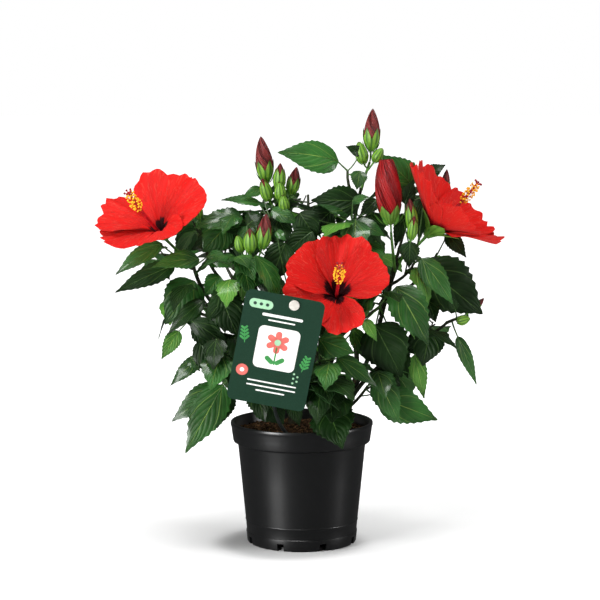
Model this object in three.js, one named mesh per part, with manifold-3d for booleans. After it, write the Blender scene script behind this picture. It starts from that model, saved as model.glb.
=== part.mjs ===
// Hibiscus shrub in bloom, standing in a round nursery pot with a plain care card on a stick.
// Millimetres, +Z up. The origin is the centre of the pot's flat underside, and the show side
// of the plant, with its card, faces -Y. Every limb, leaf and petal is one closed body that is
// wrapped round its own centre line, and each named piece is its bodies fused together.

import * as THREE from 'three';
import { mergeVertices } from 'three/addons/utils/BufferGeometryUtils.js';
import Module from 'manifold-3d';

const wasm = await Module();
wasm.setup();

// Driving dimensions
const CLEAR = 0.3;
const LEAF_GAP = 0.5;
const SEED = 1291;
const SEED_STEP = 7919;
const UP = new THREE.Vector3(0, 0, 1);
const FRONT = new THREE.Vector3(0, -1, 0);

const POT = {
  height: 113,
  rimRadius: 66,
  collarHeight: 18.5,
  collarFootRadius: 63.6,
  bodyTopRadius: 59.4,
  baseRadius: 50,
  wall: 1.6,
  floor: 2.4,
  lip: 2.6,
  round: 1.2,
  rimBandHeight: 3,
  rimBandDepth: 0.6,
  footBandHeight: 11,
  footBandDepth: 0.7,
  notchCount: 8,
  notchWidth: 6.5,
  notchHeight: 7,
  notchDepth: 5,
  segments: 24,
};

const SOIL = { top: 105, dome: 1.5, domeWidth: 6 };
const GROUND = SOIL.top + CLEAR;
const BELOW_GROUND = GROUND - 5;

const CARD = {
  width: 70.4,
  height: 105.6,
  thickness: 0.8,
  corner: 6,
  centre: [-23.1, -89, 191],
  roll: 10.8,
  lean: 13.6,
  pegAcross: 8.4,
  pegDown: 7.2,
};
const PEG = { radius: 4.6, height: 1.6, segments: 16 };
const STICK = { foot: [-4, -44], radius: 1.7, sides: 6, rings: 6, behind: 0.2, bow: [5, -44.8, -10.4] };

const LEAF = {
  rootRadius: 0.35,
  petioleRadius: 0.9,
  show: { corners: 4, shares: [0.14, 0.42, 0.76] },
  rule: { corners: 3, shares: [0.28, 0.7] },
  skew: 0.62,
  fold: 0.16,
  arch: 0.07,
  thicknessShare: 0.022,
  thicknessLeast: 0.5,
};

// The corolla's face is a tube that flares from the throat to a rim of five lobed petals.
const COROLLA = {
  petals: 5,
  turns: 20,
  shares: [0.3, 0.64, 1],
  thickness: 1.2,
  footRadius: 2,
  footHeight: 4,
  footDepth: 2,
  tubeRadius: 6,
  tubeRise: 0.95,
  notch: 0.13,
  ruffle: 0.06,
  ruffleWaves: 2.5,
};

const ROOT = { below: 6, shares: [1, 0.9, 0.8, 0.7, 0.6, 0.5, 0.4, 0.3] };

const TRUNK = { sides: 8, rings: 7 };
const BOUGH = { sides: 6, rings: 5 };
const FLARE_SHARE = 0.24;
const STEM = { sides: 5, rings: 4, radii: [1.6, 1.2] };
const TWIG = { sides: 3, rings: 3, radii: [0.95, 0.8] };

// The rule that twigs and their leaves grow by. Angles that a leaf or twig turns by are in
// radians round the vertical, and its rise and droop are in degrees from the level.
const SPRAY = {
  firstTwig: 0.3,
  twigTurn: [0.25, 1.5],
  twigRise: [-5, 60],
  twigReach: [0.2, 0.42],
  twigSag: 0.06,
  leafPlaces: [0.42, 0.74, 1],
  tries: 6,
  fan: 0.9,
  endFan: 0.1,
  fanShare: [0.5, 1.3],
  stalkTurn: [-0.5, 0.5],
  stalkRise: [0, 40],
  stalkLength: [6, 15],
  bladeTurn: [-0.35, 0.35],
  droop: [8, 62],
  leafLength: [38, 64],
  leafSlimness: [0.54, 0.68],
  lengthShare: 0.9,
  outward: 0.8,
};

// Stems and boughs: each path has three or four places that the limb passes through, and the
// first place of a bough lies inside the limb that carries it.
const LIMBS = {
  stem_main: {
    path: [[16, -10, BELOW_GROUND], [15.5, -10, 127], [14, -8, 148], [8, -2, 168]],
    radii: [4.2, 3.3],
    flare: 1.9,
  },
  stem_right: {
    path: [[39.4, 8.2, BELOW_GROUND], [45, 6, 130], [52, 5, 160]],
    radii: [3.3, 2.6],
    flare: 1.5,
  },
  stem_back: {
    path: [[-7.6, 27.4, BELOW_GROUND], [-12, 36, 138], [-14, 42, 172]],
    radii: [3.5, 2.8],
    flare: 1.6,
  },
  bough_left: {
    on: 'stem_main',
    path: [[13, -6.4, 153], [-30, -10, 186], [-72, -12, 214], [-99, -12, 258]],
    radii: [2.7, 1.6],
  },
  bough_centre: {
    on: 'stem_main',
    path: [[9, -3.2, 165], [2, 4, 205], [-8, 8, 248], [-16, 10, 290]],
    radii: [2.9, 1.6],
  },
  bough_front: {
    on: 'stem_main',
    path: [[14.4, -8.4, 144], [26, -28, 168], [30, -36, 194]],
    radii: [2.1, 1.6],
  },
  bough_low_left: {
    on: 'stem_main',
    path: [[15.6, -10, 125], [-18, -26, 148], [-50, -34, 170]],
    radii: [2.3, 1.6],
  },
  bough_bud: {
    on: 'bough_left',
    path: [[-26, -9.7, 183], [-36, -24, 214], [-42, -34, 246]],
    radii: [1.7, 1.4],
  },
  bough_top: {
    on: 'stem_right',
    path: [[51.6, 5, 157], [48, 10, 212], [46, 12, 268], [55, 12, 328]],
    radii: [2.4, 1.5],
  },
  bough_right: {
    on: 'stem_right',
    path: [[46.6, 5.7, 139], [66, 0, 184], [78, -4, 228], [91, -8, 266]],
    radii: [2.3, 1.5],
  },
  bough_low_right: {
    on: 'stem_right',
    path: [[45.4, 6, 131], [75, -8, 168], [106, -13, 188], [133, -18, 207]],
    radii: [2.1, 1.3],
  },
  bough_right_high: {
    on: 'bough_right',
    path: [[72, -2, 212], [84, 10, 250], [97, 18, 295]],
    radii: [1.8, 1.3],
  },
  bough_back_left: {
    on: 'stem_back',
    path: [[-12.7, 38, 148], [-40, 62, 190], [-68, 80, 240]],
    radii: [2.3, 1.5],
  },
  bough_back_top: {
    on: 'stem_back',
    path: [[-13.9, 41.4, 168], [-8, 54, 228], [4, 62, 290]],
    radii: [2.4, 1.5],
  },
  bough_back_right: {
    on: 'stem_back',
    path: [[-11, 34, 130], [22, 62, 175], [58, 84, 228]],
    radii: [2.3, 1.5],
  },
  bough_left_high: {
    on: 'stem_back',
    path: [[-13.4, 39.8, 160], [-40, 30, 206], [-72, 12, 240], [-88, 10, 272]],
    radii: [2.1, 1.3],
  },
  bough_side_right: {
    on: 'bough_back_right',
    path: [[23, 62.6, 176], [66, 58, 206], [106, 46, 236]],
    radii: [1.8, 1.3],
  },
  bough_side_left: {
    on: 'bough_back_left',
    path: [[-41, 62.6, 192], [-80, 56, 200], [-112, 44, 216]],
    radii: [1.8, 1.3],
  },
};

// Open blooms: the stalk runs from its bough to the foot of the calyx, and the rim of the
// petals is a ruffled ring of the given radius, held the given height above the calyx's foot.
// The column is as long as given, and its tip stands off the axis by the lift.
const BLOOMS = {
  bloom_left: {
    on: 'bough_left',
    stalk: [[-98.6, -12, 256], [-114, -9, 272]],
    foot: [-125.5, -12.2, 284],
    axis: [-0.28, -0.55, 0.78],
    radius: 54,
    height: 38,
    roll: 28,
    column: 66,
    lift: 0,
  },
  bloom_front: {
    on: 'bough_front',
    stalk: [[29.9, -35.8, 192], [30, -34, 212]],
    foot: [31, -40, 232],
    axis: [0.03, -0.9, 0.43],
    radius: 48.5,
    height: 32,
    roll: -8,
    column: 66,
    lift: 7,
  },
  bloom_right: {
    on: 'bough_right',
    stalk: [[90.7, -8, 265], [103, -8, 274]],
    foot: [114, -5, 285],
    axis: [0.66, -0.08, 0.75],
    radius: 59,
    height: 40,
    roll: 40,
    column: 68,
    lift: 0,
  },
};
const STALK = { sides: 5, rings: 5, radius: 1.3 };
const COLUMN = { sides: 5, rings: 4, radius: 1.7, sag: 1.5 };
const BRUSH = { sides: 6, radius: 5.2, length: 19, belowTip: 5 };

// Profiles from foot to tip, as shares of the radius and of the length.
const CALYX = {
  sides: 6,
  length: 19,
  radius: 7.8,
  profile: [[0, -0.1], [0.35, -0.08], [0.9, 0.35], [1, 0.65], [0.6, 1], [0, 1]],
};
const BRUSH_PROFILE = [[0, 0], [0.7, 0.1], [1, 0.6], [0, 1]];

// Clusters of buds: one twig each, and every bud is given by its foot, its tip, its width and
// the share of its length that the rolled petals take above the calyx.
const BUD = { sides: 6, waist: 0.82, taper: 0.5, cupSwell: 0.4, shoulder: 0.86, sunk: 0.06, bend: 0.6 };
const BUD_STALK = { sides: 4, rings: 2, radii: [0.6, 1] };
const CLUSTER_SPREAD = 0.35;
const CLUSTERS = {
  buds_a: {
    on: 'bough_centre',
    twig: [[-15.9, 10, 288], [-18, 9, 300], [-18, 8, 311]],
    buds: [
      { foot: [-31, 6, 334], tip: [-36.5, 4, 376], width: 14, petals: 0.62 },
      { foot: [-21, -2, 326], tip: [-19.5, -6, 352], width: 11, petals: 0.2 },
      { foot: [-10, 4, 322], tip: [-4.5, 2, 348], width: 12, petals: 0.4 },
      { foot: [-30, 0, 316], tip: [-36, -6, 338], width: 11, petals: 0.1 },
    ],
  },
  buds_b: {
    on: 'bough_bud',
    twig: [[-41.7, -33.6, 244], [-43, -38, 254], [-43, -41, 263]],
    buds: [
      { foot: [-36, -45, 276], tip: [-31.5, -48, 309], width: 14, petals: 0.4 },
      { foot: [-46, -47, 270], tip: [-46.5, -51, 292], width: 11, petals: 0.15 },
      { foot: [-52, -42, 266], tip: [-58, -44, 288], width: 9, petals: 0.1 },
    ],
  },
  buds_c: {
    on: 'bough_top',
    twig: [[54.7, 12, 326], [58, 11, 336], [61, 10, 346]],
    buds: [
      { foot: [65, 10, 362], tip: [66.2, 10, 401], width: 13, petals: 0.62 },
      { foot: [57, 6, 352], tip: [51.5, 4, 371], width: 10, petals: 0.1 },
      { foot: [67, 5, 352], tip: [73, 2, 366], width: 9, petals: 0.1 },
    ],
  },
  buds_d: {
    on: 'bough_right',
    twig: [[85.7, -6.3, 252], [83, -16, 272], [81, -20, 290]],
    buds: [{ foot: [80.8, -20, 296], tip: [76, -20, 356], width: 25, petals: 0.72 }],
  },
  buds_e: {
    on: 'bough_right',
    twig: [[89.3, -7.4, 261], [94, -17, 271], [98, -20, 282]],
    buds: [
      { foot: [101, -20, 288], tip: [97.5, -26, 321], width: 11, petals: 0.2 },
      { foot: [106, -25, 286], tip: [108.5, -32, 311], width: 10, petals: 0.15 },
    ],
  },
};

// Masses of leaves: each has one stem on its bough or trunk and a round space of its own.
// Show leaves are given by the foot and tip of the blade, its width, and how far it faces the
// front (90) rather than the sky (0); the rest grow by rule on the mass's twigs.
const MASSES = {
  foliage_top: {
    on: 'bough_top',
    stem: [[52.2, 12, 314], [44, 7, 328], [42, 5, 344]],
    leaves: [
      { foot: [34, 4, 347], tip: [-22, -12, 357], width: 32, face: 60 },
      { foot: [53, -8, 345], tip: [50, -14, 328], width: 15, face: 85 },
    ],
    space: { centre: [24, 6, 345], radius: 60 },
    twigs: 2,
  },
  foliage_top_right: {
    on: 'bough_right_high',
    stem: [[96.7, 18, 293], [97, 30, 306], [100, 44, 318]],
    leaves: [
      { foot: [104, 38, 328], tip: [74, 30, 358], width: 28, face: 75 },
      { foot: [117, 62, 336], tip: [136, 62, 347], width: 14, face: 60 },
      { foot: [95, 12, 313], tip: [103, 13, 336], width: 14, face: 80 },
    ],
    buds: [{ foot: [134.8, 64, 317], tip: [137.6, 66, 342.5], width: 9, petals: 0.5 }],
    space: { centre: [104, 50, 325], radius: 54 },
    twigs: 3,
  },
  foliage_right: {
    on: 'bough_right',
    stem: [[81.3, -5.2, 240], [94, -17, 250], [102, -24, 262]],
    leaves: [
      { foot: [108, -30, 267], tip: [137, -38, 228], width: 26, face: 70 },
      { foot: [112, -14, 257], tip: [164, -16, 215], width: 46, face: 85 },
      { foot: [98, -26, 282], tip: [97, -30, 260], width: 17, face: 90 },
    ],
    space: { centre: [124, -10, 246], radius: 54 },
    twigs: 1,
  },
  foliage_right_low: {
    on: 'bough_right',
    stem: [[73.6, -2.6, 217], [72, -18, 222], [76, -34, 232]],
    leaves: [
      { foot: [81, -42, 240], tip: [112, -54, 193], width: 38, face: 75 },
      { foot: [66, -32, 203], tip: [91, -38, 160], width: 40, face: 85 },
      { foot: [56, -60, 215], tip: [67, -66, 196], width: 11, face: 70 },
    ],
    space: { centre: [78, -40, 208], radius: 50 },
    twigs: 1,
  },
  foliage_right_mid: {
    on: 'bough_low_right',
    stem: [[104, -12.8, 187], [107, -17, 198], [112, -18, 205]],
    leaves: [
      { foot: [117, -22, 202], tip: [110, -30, 168], width: 30, face: 80 },
      { foot: [103, -22, 178], tip: [112, -26, 137], width: 16, face: 90 },
    ],
    space: { centre: [116, -6, 178], radius: 54 },
    twigs: 2,
  },
  foliage_right_tip: {
    on: 'bough_low_right',
    stem: [[132.4, -17.9, 206.6], [140, -19, 210], [148, -20, 213]],
    leaves: [
      { foot: [143, -22, 193], tip: [158, -26, 157], width: 14, face: 75 },
      { foot: [140, -24, 219], tip: [134, -27, 232], width: 9, face: 70 },
    ],
    buds: [
      { foot: [151, -27, 213], tip: [157, -31, 219], width: 7, petals: 0.1 },
      { foot: [150, -25, 216], tip: [156, -27, 229], width: 6, petals: 0.4 },
    ],
    space: { centre: [142, -14, 192], radius: 46 },
    twigs: 1,
  },
  foliage_right_bottom: {
    on: 'stem_right',
    stem: [[43.8, 6.4, 124], [52, -14, 136], [60, -30, 150]],
    leaves: [
      { foot: [68, -46, 160], tip: [88, -52, 120], width: 25, face: 75 },
      { foot: [70, -34, 140], tip: [124, -38, 120], width: 32, face: 75 },
    ],
    space: { centre: [86, -24, 140], radius: 48 },
    twigs: 2,
  },
  foliage_low_front: {
    on: 'stem_main',
    stem: [[15.8, -10, 116], [17, -34, 140], [16, -52, 176]],
    leaves: [
      { foot: [31, -60, 181], tip: [68, -64, 155], width: 18, face: 60 },
      { foot: [15, -64, 198], tip: [47, -70, 186], width: 26, face: 80 },
      { foot: [12, -50, 158], tip: [40, -60, 147], width: 24, face: 80 },
      { foot: [24, -46, 131], tip: [36, -82, 103], width: 40, face: 75 },
    ],
    space: { centre: [30, -54, 152], radius: 60 },
    twigs: 1,
  },
  foliage_low_left: {
    on: 'bough_low_left',
    stem: [[-49, -33.7, 169.2], [-60, -35, 178], [-72, -34, 184]],
    leaves: [
      { foot: [-70, -38, 152], tip: [-105, -54, 96], width: 44, face: 75 },
      { foot: [-92, -30, 177], tip: [-120, -34, 151], width: 15, face: 60 },
      { foot: [-60, -38, 198], tip: [-81, -42, 155], width: 36, face: 85 },
      { foot: [-42, -44, 150], tip: [-33, -60, 122], width: 22, face: 80 },
    ],
    space: { centre: [-70, -34, 150], radius: 70 },
    twigs: 2,
  },
  foliage_left: {
    on: 'bough_left',
    stem: [[-74.5, -12, 217], [-82, -22, 222], [-94, -28, 224]],
    leaves: [
      { foot: [-97, -26, 244], tip: [-124, -34, 207], width: 32, face: 85 },
      { foot: [-88, -36, 230], tip: [-122, -44, 199], width: 16, face: 50 },
      { foot: [-112, -22, 200], tip: [-128, -26, 174], width: 16, face: 80 },
      { foot: [-100, -46, 212], tip: [-62, -52, 186], width: 20, face: 50 },
      { foot: [-60, -40, 242], tip: [-86, -60, 214], width: 25, face: 75 },
    ],
    space: { centre: [-96, -26, 212], radius: 58 },
    twigs: 1,
  },
  foliage_left_tip: {
    on: 'bough_left',
    stem: [[-95.5, -12, 249], [-100, -20, 258], [-110, -28, 266]],
    leaves: [
      { foot: [-130, -38, 266], tip: [-167, -48, 236], width: 26, face: 60 },
      { foot: [-126, -26, 276], tip: [-168, -34, 252], width: 22, face: 55 },
      { foot: [-92, -38, 267], tip: [-134, -52, 262], width: 22, face: 45 },
      { foot: [-86, -28, 269], tip: [-64, -32, 259], width: 17, face: 60 },
    ],
    space: { centre: [-118, -24, 256], radius: 62 },
    twigs: 1,
  },
  foliage_upper_left: {
    on: 'bough_centre',
    stem: [[-12.4, 9.2, 270], [-34, 8, 284], [-46, 4, 292]],
    leaves: [
      { foot: [-54, -4, 302], tip: [-98, -10, 293], width: 24, face: 50 },
      { foot: [-56, 4, 294], tip: [-102, 4, 271], width: 31, face: 70 },
    ],
    space: { centre: [-60, 14, 284], radius: 50 },
    twigs: 2,
  },
  foliage_top_left: {
    on: 'bough_centre',
    stem: [[-14.3, 9.7, 280], [-22, 0, 290], [-29, -6, 301]],
    leaves: [
      { foot: [-38, 0, 314], tip: [-74, -2, 319], width: 14, face: 35 },
      { foot: [-36, -14, 298], tip: [-52, -18, 305], width: 14, face: 75 },
      { foot: [-28, -12, 309], tip: [-2, -18, 297], width: 14, face: 60 },
      { foot: [4, -6, 309], tip: [4, -14, 287], width: 15, face: 85 },
    ],
    space: { centre: [-26, 10, 304], radius: 58 },
    twigs: 3,
  },
  foliage_centre_left: {
    on: 'bough_bud',
    stem: [[-40, -31, 236], [-46, -40, 244], [-50, -46, 252]],
    leaves: [
      { foot: [-43, -54, 263], tip: [-47, -62, 242], width: 30, face: 85 },
      { foot: [-56, -46, 266], tip: [-74, -50, 272], width: 9, face: 40 },
    ],
    space: { centre: [-54, -42, 250], radius: 52 },
    twigs: 4,
  },
  foliage_centre: {
    on: 'bough_top',
    stem: [[46, 12, 266], [44, 0, 282], [46, -8, 298]],
    leaves: [
      { foot: [44, -4, 310], tip: [14, -10, 315], width: 27, face: 45 },
      { foot: [48, -24, 299], tip: [76, -32, 287], width: 16, face: 55 },
      { foot: [46, -14, 318], tip: [62, -22, 322], width: 11, face: 50 },
    ],
    space: { centre: [36, -6, 286], radius: 60 },
    twigs: 4,
  },
  foliage_front: {
    on: 'bough_front',
    stem: [[25, -26.4, 166], [6, -34, 192], [-8, -32, 222]],
    leaves: [],
    space: { centre: [-6, -30, 228], radius: 60 },
    twigs: 4,
  },
  foliage_left_high: {
    on: 'bough_left_high',
    stem: [[-87.6, 10, 271], [-91, 10, 280], [-94, 11, 290]],
    leaves: [],
    buds: [{ foot: [-94, 8, 299], tip: [-96.5, 5, 315], width: 8, petals: 0.15 }],
    space: { centre: [-92, 30, 270], radius: 46 },
    twigs: 3,
  },
  foliage_side_left: {
    on: 'bough_side_left',
    stem: [[-111.3, 44.2, 215.7], [-118, 42, 221], [-124, 40, 228]],
    leaves: [],
    space: { centre: [-122, 36, 214], radius: 54 },
    twigs: 4,
  },
  foliage_side_right: {
    on: 'bough_side_right',
    stem: [[105.4, 46.1, 235.6], [112, 44, 243], [120, 40, 252]],
    leaves: [{ foot: [134, 14, 286], tip: [152, 6, 264], width: 15, face: 70 }],
    space: { centre: [116, 42, 240], radius: 58 },
    twigs: 4,
  },
  foliage_back_left: {
    on: 'bough_back_left',
    stem: [[-67.5, 79.7, 239], [-74, 84, 252], [-78, 88, 268]],
    leaves: [],
    space: { centre: [-74, 92, 248], radius: 62 },
    twigs: 5,
  },
  foliage_back_top: {
    on: 'bough_back_top',
    stem: [[3.8, 61.9, 289], [6, 66, 302], [6, 70, 318]],
    leaves: [],
    space: { centre: [6, 70, 308], radius: 60 },
    twigs: 5,
  },
  foliage_back_right: {
    on: 'bough_back_right',
    stem: [[57.4, 83.7, 227.2], [64, 88, 240], [70, 92, 256]],
    leaves: [],
    space: { centre: [66, 96, 242], radius: 62 },
    twigs: 5,
  },
  foliage_back_low: {
    on: 'stem_back',
    stem: [[-9.9, 31.9, 121], [-12, 56, 146], [-14, 78, 172]],
    leaves: [],
    space: { centre: [-10, 88, 170], radius: 64 },
    twigs: 5,
  },
};

const FINISHES = {
  pot: { color: 0x17181a, roughness: 0.38 },
  soil: { color: 0x4a2e20, roughness: 0.95 },
  card: { color: 0x24432f, roughness: 0.45 },
  stick: { color: 0x1c1d1c, roughness: 0.5 },
  peg: { color: 0xe9e7dd, roughness: 0.4 },
  bark: { color: 0x5a4a34, roughness: 0.85 },
  shoot: { color: 0x3f5a2a, roughness: 0.7 },
  leaf: { color: 0x23501f, roughness: 0.42 },
  petal: { color: 0xe01a20, roughness: 0.55 },
  bud: { color: 0x5f8f2c, roughness: 0.5 },
};

// Small tools for places, curves and chance
const vector = (place) => new THREE.Vector3(...place);

function between([low, high], share) {
  return low + (high - low) * share;
}

// A curve through three places is a quadratic, and through four places a cubic.
function curveThrough(path) {
  const [a, b, c, d] = path.map(vector);
  if (path.length === 3) {
    const handle = b.clone().multiplyScalar(2).addScaledVector(a, -0.5).addScaledVector(c, -0.5);
    return new THREE.QuadraticBezierCurve3(a, handle, c);
  }
  const mix = (wa, wb, wc, wd) => new THREE.Vector3()
    .addScaledVector(a, wa / 6)
    .addScaledVector(b, wb / 6)
    .addScaledVector(c, wc / 6)
    .addScaledVector(d, wd / 6);
  return new THREE.CubicBezierCurve3(a, mix(-5, 18, -9, 2), mix(2, -9, 18, -5), d);
}

// A row of even chances from 0 to 1, the same on every run.
class Dice {
  constructor(seed) {
    this.state = seed;
  }

  roll() {
    this.state = (Math.imul(this.state, 1664525) + 1013904223) >>> 0;
    return this.state / 2 ** 32;
  }

  within(range) {
    return between(range, this.roll());
  }
}

// Closed bodies
function toSolid(geometry) {
  geometry.deleteAttribute('normal');
  geometry.deleteAttribute('uv');
  const merged = mergeVertices(geometry);
  return new wasm.Manifold(new wasm.Mesh({
    numProp: 3,
    vertProperties: merged.attributes.position.array,
    triVerts: Uint32Array.from(merged.index.array),
  }));
}

// Wraps a sphere's grid round a body: place gives each vertex from its turn round the body,
// 0 to 1, and its row. The first and last rows are the points that close the two ends.
function wrapGrid(turns, rows, place) {
  const geometry = new THREE.SphereGeometry(1, turns, rows);
  const { position, uv } = geometry.attributes;
  for (let i = 0; i < position.count; i += 1) {
    const row = Math.round((1 - uv.getY(i)) * rows);
    const point = place(uv.getX(i) % 1, row);
    position.setXYZ(i, point.x, point.y, point.z);
  }
  return toSolid(geometry);
}

// Frames along a curve that turn with it and never twist.
function framesAlong(curve, count) {
  const frames = [];
  let normal = new THREE.Vector3(0.31, -0.95, 0.08);
  for (let k = 0; k < count; k += 1) {
    const t = k / (count - 1);
    const tangent = curve.getTangent(t);
    normal = normal.clone().addScaledVector(tangent, -normal.dot(tangent)).normalize();
    const binormal = tangent.clone().cross(normal);
    frames.push({ t, centre: curve.getPoint(t), tangent, normal, binormal });
  }
  return frames;
}

// A limb, twig or column: round rings along a curve, whose radius the given function sets.
function tube(curve, radiusAt, { sides, rings, grow = 0 }) {
  const frames = framesAlong(curve, rings);
  frames[0].centre.addScaledVector(frames[0].tangent, -grow);
  frames[rings - 1].centre.addScaledVector(frames[rings - 1].tangent, grow);
  return wrapGrid(sides, rings + 1, (turn, row) => {
    const frame = frames[THREE.MathUtils.clamp(row - 1, 0, rings - 1)];
    if (row === 0 || row === rings + 1) return frame.centre;
    const angle = turn * 2 * Math.PI;
    const radius = radiusAt(frame.t) + grow / Math.cos(Math.PI / sides);
    return frame.centre.clone()
      .addScaledVector(frame.normal, radius * Math.cos(angle))
      .addScaledVector(frame.binormal, -radius * Math.sin(angle));
  });
}

// Where a flat blade lies between its foot and its tip, how it faces and how it bends.
function bladeFrame({ foot, tip, face }) {
  const start = vector(foot);
  const reach = vector(tip).sub(start);
  const length = reach.length();
  const along = reach.clone().normalize();
  const tilt = THREE.MathUtils.degToRad(face);
  const aim = UP.clone().multiplyScalar(Math.cos(tilt)).addScaledVector(FRONT, Math.sin(tilt));
  return { start, along, length, normal: squareTo(aim, along) };
}

function squareTo(aim, along) {
  return aim.clone().addScaledVector(along, -aim.dot(along)).normalize();
}

// The middle of a blade and its half width at a share of its length.
function bladeStation({ start, along, length, normal }, width, share) {
  const arch = LEAF.arch * length * 4 * share * (1 - share);
  return {
    middle: start.clone().addScaledVector(along, length * share).addScaledVector(normal, arch),
    half: (width / 2) * Math.sin(Math.PI * share ** LEAF.skew),
  };
}

// A leaf: a thin stalk from its root to the foot of the blade, then the blade, folded a little
// along its rib and arched to its tip. Its section has an edge on each side, and a rib below
// that a leaf of four corners also has above.
function leafBody(frame, width, { corners, shares }, root) {
  const { along, length, normal } = frame;
  const side = normal.clone().cross(along);
  const stalkStart = root ? vector(root) : frame.start.clone().addScaledVector(along, 1);
  const stalkAlong = root ? frame.start.clone().sub(stalkStart).normalize() : along;
  const stalkNormal = squareTo(normal, stalkAlong);
  const stalkSide = stalkNormal.clone().cross(stalkAlong);
  const thickness = LEAF.thicknessLeast + LEAF.thicknessShare * length;
  const rows = shares.length + 3;
  const phase = corners === 3 ? Math.PI / 6 : 0;
  return wrapGrid(corners, rows, (turn, row) => {
    const angle = turn * 2 * Math.PI + phase;
    const across = -Math.cos(angle) / Math.cos(phase);
    const lift = Math.sin(angle);
    if (row === 0) return stalkStart;
    if (row === rows) return bladeStation(frame, width, 1).middle;
    if (row <= 2) {
      const atRoot = row === 1;
      const radius = atRoot ? LEAF.rootRadius : LEAF.petioleRadius;
      return (atRoot ? stalkStart : frame.start).clone()
        .addScaledVector(atRoot ? stalkSide : side, radius * across)
        .addScaledVector(atRoot ? stalkNormal : normal, radius * lift);
    }
    const { middle, half } = bladeStation(frame, width, shares[row - 3]);
    return middle
      .addScaledVector(side, half * across)
      .addScaledVector(normal, half * LEAF.fold * Math.abs(across) + (thickness / 2) * lift);
  });
}

// A body turned on an axis from a foot: the profile lists its radius at each height.
function turned(foot, axis, profile, sides) {
  const along = vector(axis).normalize();
  const normal = squareTo(Math.abs(along.z) > 0.9 ? FRONT : UP, along);
  const binormal = along.clone().cross(normal);
  return wrapGrid(sides, profile.length - 1, (turn, row) => {
    const [radius, height] = profile[row];
    const angle = turn * 2 * Math.PI;
    return vector(foot)
      .addScaledVector(along, height)
      .addScaledVector(normal, radius * Math.cos(angle))
      .addScaledVector(binormal, -radius * Math.sin(angle));
  });
}

function fuse(solids) {
  return solids.reduce((whole, solid) => whole.add(solid));
}

// The biggest piece of a solid, with any loose scrap and sealed hollow left out.
function mainPiece(solid) {
  return solid.decompose().reduce((best, piece) => (piece.volume() > best.volume() ? piece : best));
}

function cutAtGround(solid) {
  const block = new THREE.BoxGeometry(POT.rimRadius * 2, POT.rimRadius * 2, GROUND);
  return solid.subtract(toSolid(block.translate(0, 0, GROUND / 2)));
}

// Pot, soil and card
function lathe(profile, segments) {
  const points = profile.map(([radius, height]) => new THREE.Vector2(radius, height));
  return new THREE.LatheGeometry(points, segments).rotateX(Math.PI / 2);
}

function wallRadius(z) {
  const share = z / (POT.height - POT.collarHeight);
  return between([POT.baseRadius, POT.bodyTopRadius], share);
}

function potSolid() {
  const { height, rimRadius, collarHeight, collarFootRadius, wall, floor, lip, round } = POT;
  const step = height - collarHeight;
  const band = POT.footBandHeight;
  const profile = [
    [0, 0],
    [POT.baseRadius - round, 0],
    [POT.baseRadius + POT.footBandDepth, round],
    [wallRadius(band) + POT.footBandDepth, band - 1],
    [wallRadius(band), band],
    [wallRadius(step - 1), step - 1],
    [collarFootRadius - round, step],
    [collarFootRadius, step + round],
    [rimRadius - POT.rimBandDepth, height - POT.rimBandHeight - round],
    [rimRadius, height - POT.rimBandHeight],
    [rimRadius, height - round],
    [rimRadius - round, height],
    [rimRadius - lip, height],
    [rimRadius - lip - POT.rimBandDepth, height - round],
    [collarFootRadius - wall, step + round + wall],
    [wallRadius(step) - wall, step + wall * 0.5],
    [wallRadius(floor) - wall, floor],
    [0, floor],
  ];
  let pot = toSolid(lathe(profile, POT.segments));
  for (let k = 0; k < POT.notchCount; k += 1) {
    const notch = new THREE.BoxGeometry(POT.notchDepth * 2, POT.notchWidth, POT.notchHeight * 2);
    notch.translate(POT.baseRadius, 0, 0);
    notch.rotateZ(((k + 0.5) / POT.notchCount) * 2 * Math.PI);
    pot = pot.subtract(toSolid(notch));
  }
  return pot;
}

function soilSolid() {
  const step = POT.height - POT.collarHeight;
  const inner = (z) => wallRadius(z) - POT.wall - CLEAR;
  const collarInner = POT.collarFootRadius - POT.wall - CLEAR * 1.5;
  const profile = [
    [0, POT.floor + CLEAR],
    [inner(POT.floor) - CLEAR, POT.floor + CLEAR],
    [inner(step) - CLEAR, step + POT.wall],
    [collarInner, step + POT.round + POT.wall * 2],
    [collarInner, SOIL.top - SOIL.dome],
    [collarInner - SOIL.domeWidth, SOIL.top],
    [0, SOIL.top],
  ];
  return toSolid(lathe(profile, POT.segments));
}

function roundedPlate({ width, height, thickness, corner }) {
  const shape = new THREE.Shape();
  const right = width / 2;
  const top = height / 2;
  const quarter = Math.PI / 2;
  shape.moveTo(-right + corner, -top);
  shape.absarc(right - corner, -top + corner, corner, -quarter, 0);
  shape.absarc(right - corner, top - corner, corner, 0, quarter);
  shape.absarc(-right + corner, top - corner, corner, quarter, 2 * quarter);
  shape.absarc(-right + corner, -top + corner, corner, 2 * quarter, 3 * quarter);
  const settings = { depth: thickness, bevelEnabled: false, curveSegments: 4 };
  return new THREE.ExtrudeGeometry(shape, settings).translate(0, 0, -thickness / 2);
}

// The card's own frame: x across, y up its face and z out of its printed side.
function cardMatrix() {
  const turn = new THREE.Matrix4().makeRotationY(THREE.MathUtils.degToRad(CARD.roll));
  turn.multiply(new THREE.Matrix4().makeRotationX(THREE.MathUtils.degToRad(90 + CARD.lean)));
  return turn.setPosition(vector(CARD.centre));
}

function cardPlace(across, up, out) {
  return new THREE.Vector3(across, up, out).applyMatrix4(cardMatrix());
}

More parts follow.
